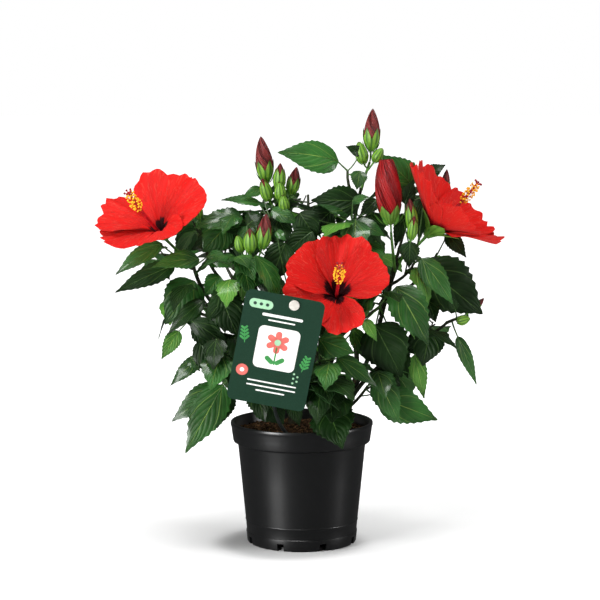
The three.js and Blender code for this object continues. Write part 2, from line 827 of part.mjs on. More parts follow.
function cardSolids() {
  const matrix = cardMatrix();
  const up = CARD.height / 2 - CARD.pegDown;
  const peg = new THREE.CylinderGeometry(PEG.radius, PEG.radius, PEG.height, PEG.segments);
  peg.rotateX(Math.PI / 2);
  peg.translate(CARD.pegAcross, up, CARD.thickness / 2 + CLEAR + PEG.height / 2);
  const head = cardPlace(CARD.pegAcross, up, -CARD.thickness / 2 - CLEAR - STICK.radius - STICK.behind);
  const bow = cardPlace(...STICK.bow);
  const stick = curveThrough([[...STICK.foot, BELOW_GROUND], bow.toArray(), head.toArray()]);
  return [
    { name: 'label_card', solid: toSolid(roundedPlate(CARD).applyMatrix4(matrix)), finish: 'card' },
    { name: 'label_button', solid: toSolid(peg.applyMatrix4(matrix)), finish: 'peg' },
    { name: 'label_stick', solid: cutAtGround(tube(stick, () => STICK.radius, STICK)), finish: 'stick' },
  ];
}

// Stems and boughs: a stem flares to its root and is cut flat at ground level.
function limbSolid({ path, radii, flare = 0 }, grow = 0) {
  const curve = curveThrough(path);
  const radiusAt = (t) => between(radii, t) + flare * Math.max(0, 1 - t / FLARE_SHARE) ** 2;
  const limb = tube(curve, radiusAt, { ...(flare ? TRUNK : BOUGH), grow });
  return flare ? cutAtGround(limb) : limb;
}

// Whatever grows on a limb is cut back to stand clear of it.
function seatOn(solid, limbName) {
  return mainPiece(solid.subtract(limbSolid(LIMBS[limbName], CLEAR)));
}

// Blooms and buds
function axisFrame(axis, roll) {
  const along = vector(axis).normalize();
  const up = squareTo(UP, along);
  const side = along.clone().cross(up);
  return { along, up, side, roll: THREE.MathUtils.degToRad(roll) };
}

// A place on the corolla's face and the way it faces there: the turn goes round the axis, and
// the share goes from the throat to the rim, which dips between petals and waves along them.
function corollaPlace(bloom, frame, turn, share) {
  const { footRadius, footHeight, tubeRadius, tubeRise, petals } = COROLLA;
  const index = Math.round(turn * petals);
  const across = 2 * (turn * petals - index);
  const rest = 1 - share;
  const flare = rest ** 2 * footRadius + 2 * share * rest * tubeRadius + share ** 2 * bloom.radius;
  const radial = flare * (1 - COROLLA.notch * across ** 2 * share ** 2);
  const lip = (2 * share * rest * tubeRise + share ** 2) * bloom.height;
  const wave = Math.sin(COROLLA.ruffleWaves * Math.PI * across + index * 2);
  const ruffle = COROLLA.ruffle * bloom.radius * share ** 3 * wave;
  const height = rest ** 2 * footHeight + lip + ruffle;
  const angle = frame.roll + turn * 2 * Math.PI;
  const out = frame.up.clone().multiplyScalar(Math.cos(angle));
  out.addScaledVector(frame.side, Math.sin(angle));
  const point = vector(bloom.foot).addScaledVector(frame.along, height).addScaledVector(out, radial);
  const normal = frame.along.clone().addScaledVector(out, share - 1.1).normalize();
  return { point, normal };
}

// The corolla is one thin shell: its rows run up its inner face, over the rim and down its back.
function corollaSolid(bloom, frame) {
  const { shares, turns, thickness, footHeight, footDepth } = COROLLA;
  const sides = [1, -1].map((side) => ({ side, order: side > 0 ? shares : shares.toReversed() }));
  const rings = sides.flatMap(({ side, order }) => order.map((share) => ({ side, share })));
  return wrapGrid(turns, rings.length + 1, (turn, row) => {
    const foot = vector(bloom.foot);
    if (row === 0) return foot.addScaledVector(frame.along, footHeight);
    if (row > rings.length) return foot.addScaledVector(frame.along, footHeight - footDepth);
    const { side, share } = rings[row - 1];
    const { point, normal } = corollaPlace(bloom, frame, turn, share);
    return point.addScaledVector(normal, (side * thickness) / 2);
  });
}

function scaled(profile, radius, length) {
  return profile.map(([out, up]) => [out * radius, up * length]);
}

function bloomSolid(bloom) {
  const frame = axisFrame(bloom.axis, bloom.roll);
  const foot = vector(bloom.foot);
  const top = foot.clone()
    .addScaledVector(frame.along, bloom.column)
    .addScaledVector(frame.up, bloom.lift);
  const middle = foot.clone().lerp(top, 0.5).addScaledVector(frame.up, -COLUMN.sag - bloom.lift / 4);
  const column = curveThrough([foot.toArray(), middle.toArray(), top.toArray()]);
  const brushFoot = column.getPoint(1 - (BRUSH.length + BRUSH.belowTip) / bloom.column);
  const brushAxis = top.clone().sub(brushFoot).toArray();
  const brush = scaled(BRUSH_PROFILE, BRUSH.radius, BRUSH.length);
  const parts = [
    corollaSolid(bloom, frame),
    tube(curveThrough([...bloom.stalk, bloom.foot]), () => STALK.radius, STALK),
    turned(bloom.foot, bloom.axis, scaled(CALYX.profile, CALYX.radius, CALYX.length), CALYX.sides),
    tube(column, () => COLUMN.radius, COLUMN),
    turned(brushFoot.toArray(), brushAxis, brush, BRUSH.sides),
  ];
  return fuse(parts);
}

function budBodies({ foot, tip, width, petals }, root) {
  const start = vector(foot);
  const reach = vector(tip).sub(start);
  const length = reach.length();
  const cup = 1 - petals;
  const profile = [
    [0, 0],
    [1, cup * BUD.cupSwell],
    [BUD.waist, cup],
    [BUD.waist - BUD.taper * petals, BUD.shoulder],
    [0, 1],
  ];
  const middle = vector(root).lerp(start, BUD.bend).addScaledVector(reach, -BUD.sunk);
  const sunk = start.clone().addScaledVector(reach, BUD.sunk);
  const stalk = curveThrough([root, middle.toArray(), sunk.toArray()]);
  return [
    turned(foot, reach.toArray(), scaled(profile, width / 2, length), BUD.sides),
    tube(stalk, (t) => between(BUD_STALK.radii, t), BUD_STALK),
  ];
}

function clusterSolid({ twig, buds }) {
  const curve = curveThrough(twig);
  const bodies = buds.flatMap((bud, k) => {
    const share = buds.length > 1 ? 1 - (CLUSTER_SPREAD * k) / (buds.length - 1) : 1;
    return budBodies(bud, curve.getPoint(share).toArray());
  });
  return fuse([tube(curve, (t) => between(STEM.radii, t), STEM), ...bodies]);
}

// Foliage. The pieces that stand already are kept with their boxes, so that a new leaf is only
// measured against its near neighbours.
const standing = [];

function boxOf(solid) {
  const { min, max } = solid.boundingBox();
  return new THREE.Box3(vector(min), vector(max));
}

function stand(name, solid) {
  standing.push({ name, solid, box: boxOf(solid) });
}

function isClear(solid, owner, gap) {
  const box = boxOf(solid).expandByScalar(gap);
  return standing.every((other) => other.name === owner
    || !other.box.intersectsBox(box)
    || solid.minGap(other.solid, gap * 2) >= gap);
}

// The place on the outer part of a stem that is nearest to a little below the foot of a blade.
function rootFor(curve, foot) {
  const aim = vector(foot).addScaledVector(UP, -ROOT.below);
  const places = ROOT.shares.map((share) => curve.getPoint(share));
  return places.reduce((best, place) => (place.distanceTo(aim) < best.distanceTo(aim) ? place : best));
}

class Mass {
  constructor(name, index) {
    this.name = name;
    this.plan = MASSES[name];
    this.dice = new Dice(SEED + index * SEED_STEP);
    this.curve = curveThrough(this.plan.stem);
    this.heart = vector(this.plan.space.centre);
    this.blades = [];
    this.bodies = [seatOn(tube(this.curve, (t) => between(STEM.radii, t), STEM), this.plan.on)];
    for (const bud of this.plan.buds ?? []) {
      this.bodies.push(...budBodies(bud, this.curve.getPoint(ROOT.shares[1]).toArray()));
    }
  }

  holds(place) {
    return place.distanceTo(this.heart) <= this.plan.space.radius;
  }

  // A leaf is kept where it stays in the mass's space and clear of every other piece.
  addLeaf(frame, width, form, root) {
    const tip = bladeStation(frame, width, 1).middle;
    if (!this.holds(frame.start) || !this.holds(tip)) return false;
    const blade = leafBody(frame, width, form);
    if (!this.blades.every((other) => other.minGap(blade, LEAF_GAP) >= LEAF_GAP / 2)) return false;
    const body = leafBody(frame, width, form, root.toArray());
    if (!isClear(body, this.name, LEAF_GAP)) return false;
    this.blades.push(blade);
    this.bodies.push(body);
    return true;
  }

  growShowLeaves() {
    for (const leaf of this.plan.leaves) {
      const frame = bladeFrame(leaf);
      this.addLeaf(frame, leaf.width, LEAF.show, rootFor(this.curve, leaf.foot));
    }
  }

  leafByRule(root, heading) {
    const { dice } = this;
    const turn = heading + dice.within(SPRAY.stalkTurn);
    const rise = THREE.MathUtils.degToRad(dice.within(SPRAY.stalkRise));
    const fall = THREE.MathUtils.degToRad(-dice.within(SPRAY.droop));
    const length = Math.min(dice.within(SPRAY.leafLength), SPRAY.lengthShare * this.plan.space.radius);
    const width = length * dice.within(SPRAY.leafSlimness);
    const stalk = polar(turn, rise).multiplyScalar(dice.within(SPRAY.stalkLength));
    const start = root.clone().add(stalk);
    const along = polar(turn + dice.within(SPRAY.bladeTurn), fall);
    const aim = polar(turn, 0).multiplyScalar(SPRAY.outward).add(UP);
    return { frame: { start, along, length, normal: squareTo(aim, along) }, width };
  }

  // Twigs fan out to both sides of the mass's own heading, away from the pot's axis.
  growTwigs() {
    const { twigs } = this.plan;
    const own = Math.atan2(this.heart.y, this.heart.x);
    for (let k = 0; k < twigs; k += 1) {
      const foot = this.curve.getPoint(between([SPRAY.firstTwig, 1], (k + 0.5) / twigs));
      const turn = own + (k % 2 ? 1 : -1) * this.dice.within(SPRAY.twigTurn);
      const rise = THREE.MathUtils.degToRad(this.dice.within(SPRAY.twigRise));
      const reach = this.plan.space.radius * this.dice.within(SPRAY.twigReach);
      const end = foot.clone().addScaledVector(polar(turn, rise), reach);
      const middle = foot.clone().lerp(end, 0.5).addScaledVector(UP, -SPRAY.twigSag * reach);
      const curve = curveThrough([foot.toArray(), middle.toArray(), end.toArray()]);
      this.growTwig(curve, turn);
    }
  }

  growTwig(curve, turn) {
    const leaves = SPRAY.leafPlaces.map((share, k) => {
      const fan = share === 1 ? SPRAY.endFan : SPRAY.fan;
      const root = curve.getPoint(share);
      const tries = [];
      for (let n = 0; n < SPRAY.tries; n += 1) {
        const swing = (k % 2 ? -fan : fan) * this.dice.within(SPRAY.fanShare);
        tries.push(this.leafByRule(root, turn + swing));
      }
      return { root, tries };
    });
    const twig = tube(curve, (t) => between(TWIG.radii, t), TWIG);
    if (!this.holds(curve.getPoint(1)) || !isClear(twig, this.name, LEAF_GAP)) return;
    const kept = leaves.filter(({ root, tries }) => (
      tries.some(({ frame, width }) => this.addLeaf(frame, width, LEAF.rule, root))
    ));
    if (kept.length) this.bodies.push(twig);
  }

  solid() {
    return mainPiece(fuse(this.bodies));
  }
}

function polar(turn, rise) {
  const level = Math.cos(rise);
  return new THREE.Vector3(Math.cos(turn) * level, Math.sin(turn) * level, Math.sin(rise));
}

// The finished group
const shrub = new THREE.Group();

function addPiece(name, solid, finish) {
  const { vertProperties, triVerts } = solid.getMesh();
  const geometry = new THREE.BufferGeometry();
  geometry.setAttribute('position', new THREE.BufferAttribute(vertProperties, 3));
  geometry.setIndex(new THREE.BufferAttribute(triVerts, 1));
  const look = { ...FINISHES[finish], metalness: 0, flatShading: true };
  const mesh = new THREE.Mesh(geometry, new THREE.MeshStandardMaterial(look));
  mesh.name = name;
  shrub.add(mesh);
}

function setUp({ name, solid, finish }) {
  stand(name, solid);
  addPiece(name, solid, finish);
}

setUp({ name: 'pot', solid: potSolid(), finish: 'pot' });
setUp({ name: 'soil', solid: soilSolid(), finish: 'soil' });
cardSolids().forEach(setUp);

for (const [name, limb] of Object.entries(LIMBS)) {
  const whole = limbSolid(limb);
  if (limb.on) setUp({ name, solid: seatOn(whole, limb.on), finish: 'shoot' });
  else setUp({ name, solid: whole, finish: 'bark' });
}

for (const [name, bloom] of Object.entries(BLOOMS)) {
  setUp({ name, solid: seatOn(bloomSolid(bloom), bloom.on), finish: 'petal' });
}

for (const [name, cluster] of Object.entries(CLUSTERS)) {
  setUp({ name, solid: seatOn(clusterSolid(cluster), cluster.on), finish: 'bud' });
}

// Every mass grows its show leaves before any grows the leaves of its rule, and a mass that is
// still growing stands in the way of the others.
const masses = Object.keys(MASSES).map((name, index) => new Mass(name, index));
for (const mass of masses) {
  mass.growShowLeaves();
  stand(mass.name, fuse(mass.bodies));
}
for (const mass of masses) {
  mass.growTwigs();
  const solid = mass.solid();
  Object.assign(standing.find(({ name }) => name === mass.name), { solid, box: boxOf(solid) });
  addPiece(mass.name, solid, 'leaf');
}

export default shrub;
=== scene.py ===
"""Dresses a hibiscus shrub in bloom, in its nursery pot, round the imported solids.

Places and sizes are in millimetres, as in the part's source, and each finished mesh is brought
to metres. The origin is the centre of the pot's flat underside and the show side faces -Y.
"""

import logging
import math
from collections.abc import Callable, Iterable, Sequence
from dataclasses import dataclass, field
from enum import Enum
from functools import cache

import bmesh
import bpy
from mathutils import Matrix, Vector, noise
from mathutils.bvhtree import BVHTree
from mathutils.kdtree import KDTree


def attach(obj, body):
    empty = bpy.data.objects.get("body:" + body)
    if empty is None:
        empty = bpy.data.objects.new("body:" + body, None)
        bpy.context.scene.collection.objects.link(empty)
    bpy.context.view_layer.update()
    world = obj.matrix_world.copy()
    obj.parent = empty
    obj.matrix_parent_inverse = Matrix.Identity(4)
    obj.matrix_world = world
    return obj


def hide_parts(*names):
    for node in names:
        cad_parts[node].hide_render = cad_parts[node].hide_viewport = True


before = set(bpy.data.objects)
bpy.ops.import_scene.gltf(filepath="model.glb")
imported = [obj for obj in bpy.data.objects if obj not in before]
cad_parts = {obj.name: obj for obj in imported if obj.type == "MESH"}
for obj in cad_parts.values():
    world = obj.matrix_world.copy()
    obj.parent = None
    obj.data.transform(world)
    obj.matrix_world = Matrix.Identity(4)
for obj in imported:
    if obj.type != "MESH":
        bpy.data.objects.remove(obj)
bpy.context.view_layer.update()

log = logging.getLogger("shrub")

MM = 0.001
TURN = 2 * math.pi
GOLDEN_ANGLE = 2.39996
UP = Vector((0, 0, 1))
FRONT = Vector((0, -1, 0))

# Where stems and stick are cut flat above the peat, and how near vertices become one
GROUND = 105.3
MEETING = 0.0005

Place = tuple[float, float, float]
Span = tuple[float, float]
Pair = tuple[float, float]
Colour = tuple[float, float, float]
Surface = Callable[[float, float], Vector]


class Slot(Enum):
    """The record's material slots."""

    POT = "pot_plastic"
    SOIL = "peat"
    CARD = "card_plastic"
    BUTTON = "button_plastic"
    STICK = "stick_plastic"
    BARK = "bark"
    SHOOT = "shoot"
    PETAL = "petal"
    BUD = "bud"
    LEAF = "leaf"


class Tint(Enum):
    """The three greens that a leaf is dealt one of, by the index of its finish."""

    DARK = 0
    MIDDLE = 1
    YOUNG = 2


DARK, MIDDLE, YOUNG = Tint


# Chance, curves and frames


class Dice:
    """A row of even chances from 0 to 1 that is the same on every run."""

    FACTOR = 1664525
    STEP = 1013904223
    SIZE = 2**32

    def __init__(self, seed: int) -> None:
        """Starts the row at a seed."""
        self.state = seed

    def roll(self) -> float:
        """The next chance, from 0 to 1."""
        self.state = (self.state * self.FACTOR + self.STEP) % self.SIZE
        return self.state / self.SIZE

    def within(self, span: Span) -> float:
        """The next chance, spread over a span."""
        return between(span, self.roll())


def between(span: Span, share: float) -> float:
    """The number at a share of the way through a span."""
    return span[0] + (span[1] - span[0]) * share


def ease(low: float, high: float, value: float) -> float:
    """0 below low and 1 above high, with a smooth rise between them."""
    share = min(1.0, max(0.0, (value - low) / (high - low)))
    return share * share * (3 - 2 * share)


def bezier(row: Sequence[Vector], share: float) -> Vector:
    """The place at a share of the curve that a row of handles gives.

    Args:
        row: the curve's handles.
        share: how far along it.

    Returns:
        The place there.
    """
    while len(row) > 1:
        row = [p.lerp(q, share) for p, q in zip(row, row[1:])]
    return row[0]


def square_to(aim: Vector, along: Vector) -> Vector:
    """The direction nearest to aim that is square to along."""
    return (aim - along * aim.dot(along)).normalized()


def polar(turn: float, rise: float) -> Vector:
    """The direction at a turn round the vertical and a rise from the level, in radians."""
    level = math.cos(rise)
    return Vector((math.cos(turn) * level, math.sin(turn) * level, math.sin(rise)))


@dataclass(frozen=True)
class Station:
    """A place on a curve or an axis, with the directions along and across it there."""

    share: float
    centre: Vector
    along: Vector
    normal: Vector
    binormal: Vector

    @classmethod
    def facing(cls, centre: Vector, along: Vector, aim: Vector, share: float = 0.0) -> "Station":
        """The station whose normal is nearest to aim."""
        normal = square_to(aim, along)
        return cls(share, centre, along, normal, along.cross(normal))

    def out(self, angle: float) -> Vector:
        """The direction across at an angle from the normal."""
        return self.normal * math.cos(angle) + self.binormal * math.sin(angle)

    def beside(self, angle: float, reach: float, ahead: float = 0.0) -> Vector:
        """The place that lies a reach out at an angle, and some way ahead."""
        return self.centre + self.along * ahead + self.out(angle) * reach


class Curve:
    """A smooth curve through three or four places."""

    def __init__(self, path: Sequence[Sequence[float]]) -> None:
        """Finds the curve's handles.

        Args:
            path: three or four places that the curve passes at even shares.
        """
        places = [Vector(place) for place in path]
        if len(places) == 3:
            a, b, c = places
            self.handles = [a, b * 2 - (a + c) / 2, c]
        else:
            a, b, c, d = places
            first = (a * -5 + b * 18 - c * 9 + d * 2) / 6
            second = (a * 2 - b * 9 + c * 18 - d * 5) / 6
            self.handles = [a, first, second, d]

    def at(self, share: float) -> Vector:
        """The place at a share of the curve."""
        return bezier(self.handles, share)

    def stations(self, count: int) -> list[Station]:
        """Even stations whose directions turn with the curve and never twist.

        Args:
            count: how many stations.

        Returns:
            The stations, from the curve's foot to its end.
        """
        found = []
        normal = Vector((0.31, -0.95, 0.08))
        for k in range(count):
            share = k / (count - 1)
            ahead, behind = min(1.0, share + 0.001), max(0.0, share - 0.001)
            along = (self.at(ahead) - self.at(behind)).normalized()
            found.append(Station.facing(self.at(share), along, normal, share))
            normal = found[-1].normal
        return found

    def length(self) -> float:
        """The curve's rough length."""
        places = [self.at(k / 12) for k in range(13)]
        return sum((q - p).length for p, q in zip(places, places[1:]))


# Shaders


class Signal:
    """A socket's value, on which plain arithmetic adds Math nodes."""

    def __init__(self, paint: "Paint", socket: bpy.types.NodeSocket) -> None:
        """Wraps an output socket of a paint's nodes."""
        self.paint = paint
        self.socket = socket

    def math(self, operation: str, *others: "Signal | float") -> "Signal":
        """Adds one Math node.

        Args:
            operation: the node's operation.
            others: the other numbers that it works on, if it takes more than one.

        Returns:
            The node's result.
        """
        values = dict(enumerate((self, *others)))
        return self.paint.node("ShaderNodeMath", {"operation": operation}, values)

    def __add__(self, other: "Signal | float") -> "Signal":
        """This plus another."""
        return self.math("ADD", other)

    __radd__ = __add__

    def __sub__(self, other: "Signal | float") -> "Signal":
        """This less another."""
        return self.math("SUBTRACT", other)

    def __rsub__(self, other: "Signal | float") -> "Signal":
        """Another less this."""
        return (self * -1).math("ADD", other)

    def __mul__(self, other: "Signal | float") -> "Signal":
        """This times another."""
        return self.math("MULTIPLY", other)

    __rmul__ = __mul__

    def __abs__(self) -> "Signal":
        """This without its sign."""
        return self.math("ABSOLUTE")


Value = Signal | float | Sequence[float]


class Paint:
    """A material's nodes and the few ways in which this script adds to them."""

    def __init__(self, name: str) -> None:
        """Starts a material with its principled shader alone.

        Args:
            name: the material's name.
        """
        self.material = bpy.data.materials.new(name)
        self.material.use_nodes = True
        self.nodes = self.material.node_tree.nodes
        self.links = self.material.node_tree.links
        self.shader = self.nodes["Principled BSDF"]

    def feed(self, node: bpy.types.Node, values: dict[int | str, Value]) -> None:
        """Sets or links a node's sockets.

        Args:
            node: the node.
            values: a number, a colour or a signal for each socket's name or index.
        """
        for key, value in values.items():
            if isinstance(value, Signal):
                self.links.new(value.socket, node.inputs[key])
            else:
                node.inputs[key].default_value = value

    def node(
        self,
        kind: str,
        settings: dict[str, object] | None = None,
        values: dict[int | str, Value] | None = None,
        output: int | str = 0,
    ) -> Signal:
        """Adds any node.

        Args:
            kind: the node's type.
            settings: its own settings.
            values: what its sockets are given.
            output: the name or index of the output that is wanted.

        Returns:
            That output's signal.
        """
        made = self.nodes.new(kind)
        for key, value in (settings or {}).items():
            setattr(made, key, value)
        self.feed(made, values or {})
        return Signal(self, made.outputs[output])

    def dress(self, **values: Value) -> None:
        """Feeds the principled shader, whose socket names are given with _ for a space."""
        self.feed(self.shader, {key.replace("_", " "): value for key, value in values.items()})

    def across_and_along(self) -> tuple[Signal, Signal]:
        """The piece's own UV map as two signals.

        Returns:
            The share across and the share along.
        """
        place = self.node("ShaderNodeTexCoord", output="UV")
        values = {0: place}
        split = [self.node("ShaderNodeSeparateXYZ", {}, values, axis) for axis in ("X", "Y")]
        return split[0], split[1]

    def place(self) -> Signal:
        """The place on the object, in metres."""
        return self.node("ShaderNodeTexCoord", output="Object")

    def vector(self, x: Value, y: Value, z: Value = 0.0) -> Signal:
        """Three numbers as one vector."""
        return self.node("ShaderNodeCombineXYZ", {}, {0: x, 1: y, 2: z})

    def noise(self, scale: float, detail: float = 2.0, at: Signal | None = None) -> Signal:
        """Soft noise from 0 to 1.

        Args:
            scale: how many features to one unit of the place.
            detail: how many finer layers it has.
            at: the place that it reads, or the place on the object.

        Returns:
            The noise.
        """
        values = {"Vector": at or self.place(), "Scale": scale, "Detail": detail}
        return self.node("ShaderNodeTexNoise", {}, values)

    def rise(self, value: Signal, low: float, high: float) -> Signal:
        """0 where the value is below low and 1 above high, smooth between them."""
        values = {0: value, 1: low, 2: high}
        return self.node("ShaderNodeMapRange", {"interpolation_type": "SMOOTHSTEP"}, values)

    def mix(self, share: Value, first: Value, second: Value) -> Signal:
        """The first colour, and the second where the share is 1.

        Args:
            share: how much of the second.
            first: a colour.
            second: another colour.

        Returns:
            The mixed colour.
        """
        full = [v if isinstance(v, Signal) else (*v, 1) for v in (first, second)]
        values = {0: share, 6: full[0], 7: full[1]}
        return self.node("ShaderNodeMix", {"data_type": "RGBA"}, values, 2)

    def bump(self, height: Signal, distance: float) -> Signal:
        """The normal of a relief whose height is given, over a distance in metres."""
        return self.node("ShaderNodeBump", {}, {"Height": height, "Distance": distance, "Strength": 1})

    def stretched(self, scale: Place) -> Signal:
        """Soft noise on the place on the object, scaled along its three axes."""
        spread = self.node("ShaderNodeMapping", {}, {"Vector": self.place(), "Scale": scale})
        return self.noise(1.0, 2.0, spread)


def screen(code: int) -> Colour:
    """The linear colour of a screen colour code, such as 0xE01A20.

    Args:
        code: the code.

    Returns:
        The red, green and blue.
    """
    parts = [((code >> shift) & 255) / 255 for shift in (16, 8, 0)]
    linear = [p / 12.92 if p <= 0.04045 else ((p + 0.055) / 1.055) ** 2.4 for p in parts]
    return (linear[0], linear[1], linear[2])


@dataclass(frozen=True)
class Finish:
    """A plain finish: one colour with a little mottling and a faint grain."""

    name: str
    colour: int
    shade: int
    roughness: float = 0.5
    specular: float = 0.5
    grain: float = 300.0
    relief: float = 0.00005

    def body(self, paint: Paint, share: Signal) -> Signal:
        """The shade, and the colour where the share is 1."""
        return paint.mix(share, screen(self.shade), screen(self.colour))

    def dress(self, paint: Paint, colour: Signal, height: Signal, **others: Value) -> None:
        """Dresses the shader in a colour and in the finish's relief.

        Args:
            paint: the material's nodes.
            colour: the base colour.
            height: the relief's height.
            others: what its other sockets get, and its roughness where that varies.
        """
        values = {"Roughness": self.roughness, "Specular_IOR_Level": self.specular, **others}
        paint.dress(Base_Color=colour, Normal=paint.bump(height, self.relief), **values)

    def paint(self, paint: Paint) -> None:
        """Adds the finish's nodes."""
        speckle = paint.noise(self.grain, 3.0)
        self.dress(paint, self.body(paint, paint.rise(speckle, 0.35, 0.65)), speckle)


@dataclass(frozen=True)
class LeafFinish(Finish):
    """A leaf's face or back: a pale rib, side veins that bow to the tip, quilting and a painted highlight
    on its swells.
    """

    vein: int = 0x8FB06A
    vein_share: float = 0.16
    pairs: float = 6.5
    slant: float = 0.5
    relief: float = 0.0008
    coat: float = 0.0

    def paint(self, paint: Paint) -> None:
        """Adds the leaf's nodes, which follow its UV map.

        Args:
            paint: the material's nodes.
        """
        u, v = paint.across_and_along()
        out = abs(u * 2 - 1)
        bowed = (v - out * self.slant) * self.pairs
        beside = bowed.math("PINGPONG", 0.5)
        side_vein = (1 - paint.rise(beside, 0.0, 0.09)) * (1 - paint.rise(out, 0.5, 0.95))
        rib = 1 - paint.rise(out, 0.008, 0.035)
        from_foot = (1 - paint.rise(abs(out - v * 1.5), 0.008, 0.035)) * (1 - paint.rise(v, 0.4, 0.7))
        mains = (rib * 0.9).math("MAXIMUM", from_foot * 0.6)
        veins = mains.math("MAXIMUM", side_vein * self.vein_share)
        body = self.body(paint, paint.rise(paint.noise(24.0, 4.0), 0.35, 0.65))
        # painted highlight: the colour is lightened on the swells between the side veins, where light
        # would catch the quilting
        lit = paint.mix(paint.rise(beside, 0.1, 0.5) * 0.2, body, screen(self.colour))
        swells = paint.noise(60.0) * 2.0
        self.dress(
            paint,
            paint.mix(veins, lit, screen(self.vein)),
            paint.rise(beside, 0.0, 0.4) * 0.4 - mains * 0.4 + swells,
            Roughness=paint.noise(160.0) * 0.16 + self.roughness,
            Specular_Tint=(*screen(GREEN_SHINE), 1),
            Coat_Weight=self.coat,
            Coat_Roughness=0.2,
        )


@dataclass(frozen=True)
class PetalFinish(Finish):
    """A petal: fine rays from a deep throat to the rim, lighter between them."""

    throat: int = 0x2C0409
    throat_end: float = 0.54
    ray: int = 0xB40D10
    rays: float = 14.0
    relief: float = 0.0009

    def paint(self, paint: Paint) -> None:
        """Adds the petal's nodes, which follow its UV map.

        Args:
            paint: the material's nodes.
        """
        u, v = paint.across_and_along()
        fan = paint.vector(u * self.rays, v * 1.6, paint.noise(30.0) * 2)
        streak = paint.noise(1.0, 4.0, fan)
        vein = 1 - paint.rise(abs(paint.noise(2.2, 2.0, fan) - 0.5), 0.0, 0.03)
        lit = (paint.rise(streak, 0.3, 0.7) * 0.45 + 0.2) + paint.rise(v, 0.35, 0.85) * 0.35
        body = paint.mix(lit, screen(self.ray), screen(self.colour))
        pale = paint.mix(vein * paint.rise(v, 0.3, 0.6) * 0.4, body, screen(self.shade))
        out = abs(u * 2 - 1)
        edge = v + (streak - 0.5) * 0.16 + out * out * 0.07
        deep = 1 - paint.rise(edge, self.throat_end * 0.86, self.throat_end)
        height = streak * 0.7 + paint.noise(900.0) * 0.1 + vein * 0.25
        deepened = paint.mix(deep, pale, screen(self.throat))
        self.dress(paint, deepened, height, Sheen_Weight=0.03, Sheen_Roughness=0.4)


@dataclass(frozen=True)
class StripeFinish(Finish):
    """Stripes that run along a bud and may wind round it, dark between pale."""

    stripes: float = 5.0
    wind: float = 0.0
    width: Span = (0.08, 0.3)
    fine: float = 40.0
    mottle: float = 0.12
    relief: float = 0.0004

    def paint(self, paint: Paint) -> None:
        """Adds the stripes' nodes, which follow the piece's UV map.

        Args:
            paint: the material's nodes.
        """
        u, v = paint.across_and_along()
        round_it = u * self.stripes + v * self.wind
        beside = round_it.math("PINGPONG", 0.5)
        streak = paint.noise(1.0, 3.0, paint.vector(round_it * (self.fine / self.stripes), v * 2.0))
        share = paint.rise(beside + (streak - 0.5) * self.mottle, *self.width)
        self.dress(paint, self.body(paint, share), share * 0.6 + streak * 0.5)


@dataclass(frozen=True)
class BarkFinish(Finish):
    """Bark: long streaks with small pale marks."""

    mark: int = 0x8A7A58
    relief: float = 0.0007

    def paint(self, paint: Paint) -> None:
        """Adds the bark's nodes, which follow the limb's UV map and its place.

        Args:
            paint: the material's nodes.
        """
        u, v = paint.across_and_along()
        streak = paint.noise(1.0, 4.0, paint.vector(u * 9.0, v * 14.0, paint.noise(60.0) * 3))
        marks = paint.rise(paint.noise(520.0, 1.0), 0.66, 0.74)
        body = self.body(paint, paint.rise(streak, 0.3, 0.7))
        self.dress(paint, paint.mix(marks * 0.7, body, screen(self.mark)), streak + marks * 0.5)


@dataclass(frozen=True)
class PotFinish(Finish):
    """Moulded plastic, whose gloss is drawn out up and down, with fine rings and a little dust."""

    drawn: float = 0.6

    def paint(self, paint: Paint) -> None:
        """Adds the plastic's nodes, which follow its place.

        Args:
            paint: the material's nodes.
        """
        rings, draw = paint.stretched((8, 8, 900)), paint.stretched((260, 260, 6))
        dust = paint.rise(paint.noise(900.0), 0.6, 0.8)
        self.dress(
            paint,
            paint.mix(dust * 0.35, screen(self.colour), screen(self.shade)),
            rings * 0.5 + draw * 0.5,
            Roughness=rings * 0.06 + draw * 0.06 + self.roughness,
            Anisotropic=self.drawn,
            Anisotropic_Rotation=0.25,
        )


@dataclass(frozen=True)
class SoilFinish(Finish):
    """Peat: brown grains with lighter fibres."""

    fibre: int = 0x9A7350
    relief: float = 0.0012

    def paint(self, paint: Paint) -> None:
        """Adds the peat's nodes, which follow its place.

        Args:
            paint: the material's nodes.
        """
        grains = paint.noise(650.0, 4.0)
        fibres = paint.rise(paint.noise(260.0, 5.0), 0.52, 0.66)
        body = self.body(paint, paint.rise(grains, 0.35, 0.7))
        self.dress(paint, paint.mix(fibres * 0.5, body, screen(self.fibre)), grains)


@dataclass(frozen=True)
class FloorFinish(Finish):
    """A pale floor that glows a little, with a painted shadow round the pot: its glow fades and its colour
    darkens near the pot's foot.
    """

    glow: float = 0.6

    # the centre of the painted shadow, a little to the left of and in front of the pot's middle
    PAINTED_SHADOW_CENTRE = (-0.012, -0.012, 0)

    def paint(self, paint: Paint) -> None:
        """Adds the floor's values: a painted shadow that is darker and glows less near the pot, paler and
        glowing more away from it.

        Args:
            paint: the material's nodes.
        """
        places = {0: paint.place(), 1: self.PAINTED_SHADOW_CENTRE}
        out = paint.node("ShaderNodeVectorMath", {"operation": "DISTANCE"}, places, "Value")
        # painted shadow: no glow within 5 cm of the centre, full from 8 cm; the colour pales and the glow
        # grows again out to 90 cm
        near, away = paint.rise(out, 0.05, 0.08), paint.rise(out, 0.1, 0.9)
        paint.dress(
            Base_Color=self.body(paint, away),
            Roughness=self.roughness,
            Specular_IOR_Level=self.specular,
            Emission_Color=paint.mix(near * 0.6 + away * 0.4, (0, 0, 0), (1, 1, 1)),
            Emission_Strength=self.glow,
        )


@cache
def material_of(finish: Finish) -> bpy.types.Material:
    """The finish's material, made once.

    Args:
        finish: the finish.

    Returns:
        Its material.
    """
    paint = Paint(finish.name)
    finish.paint(paint)
    return paint.material


# Finishes: the name, the colour and the shade, then roughness and specular

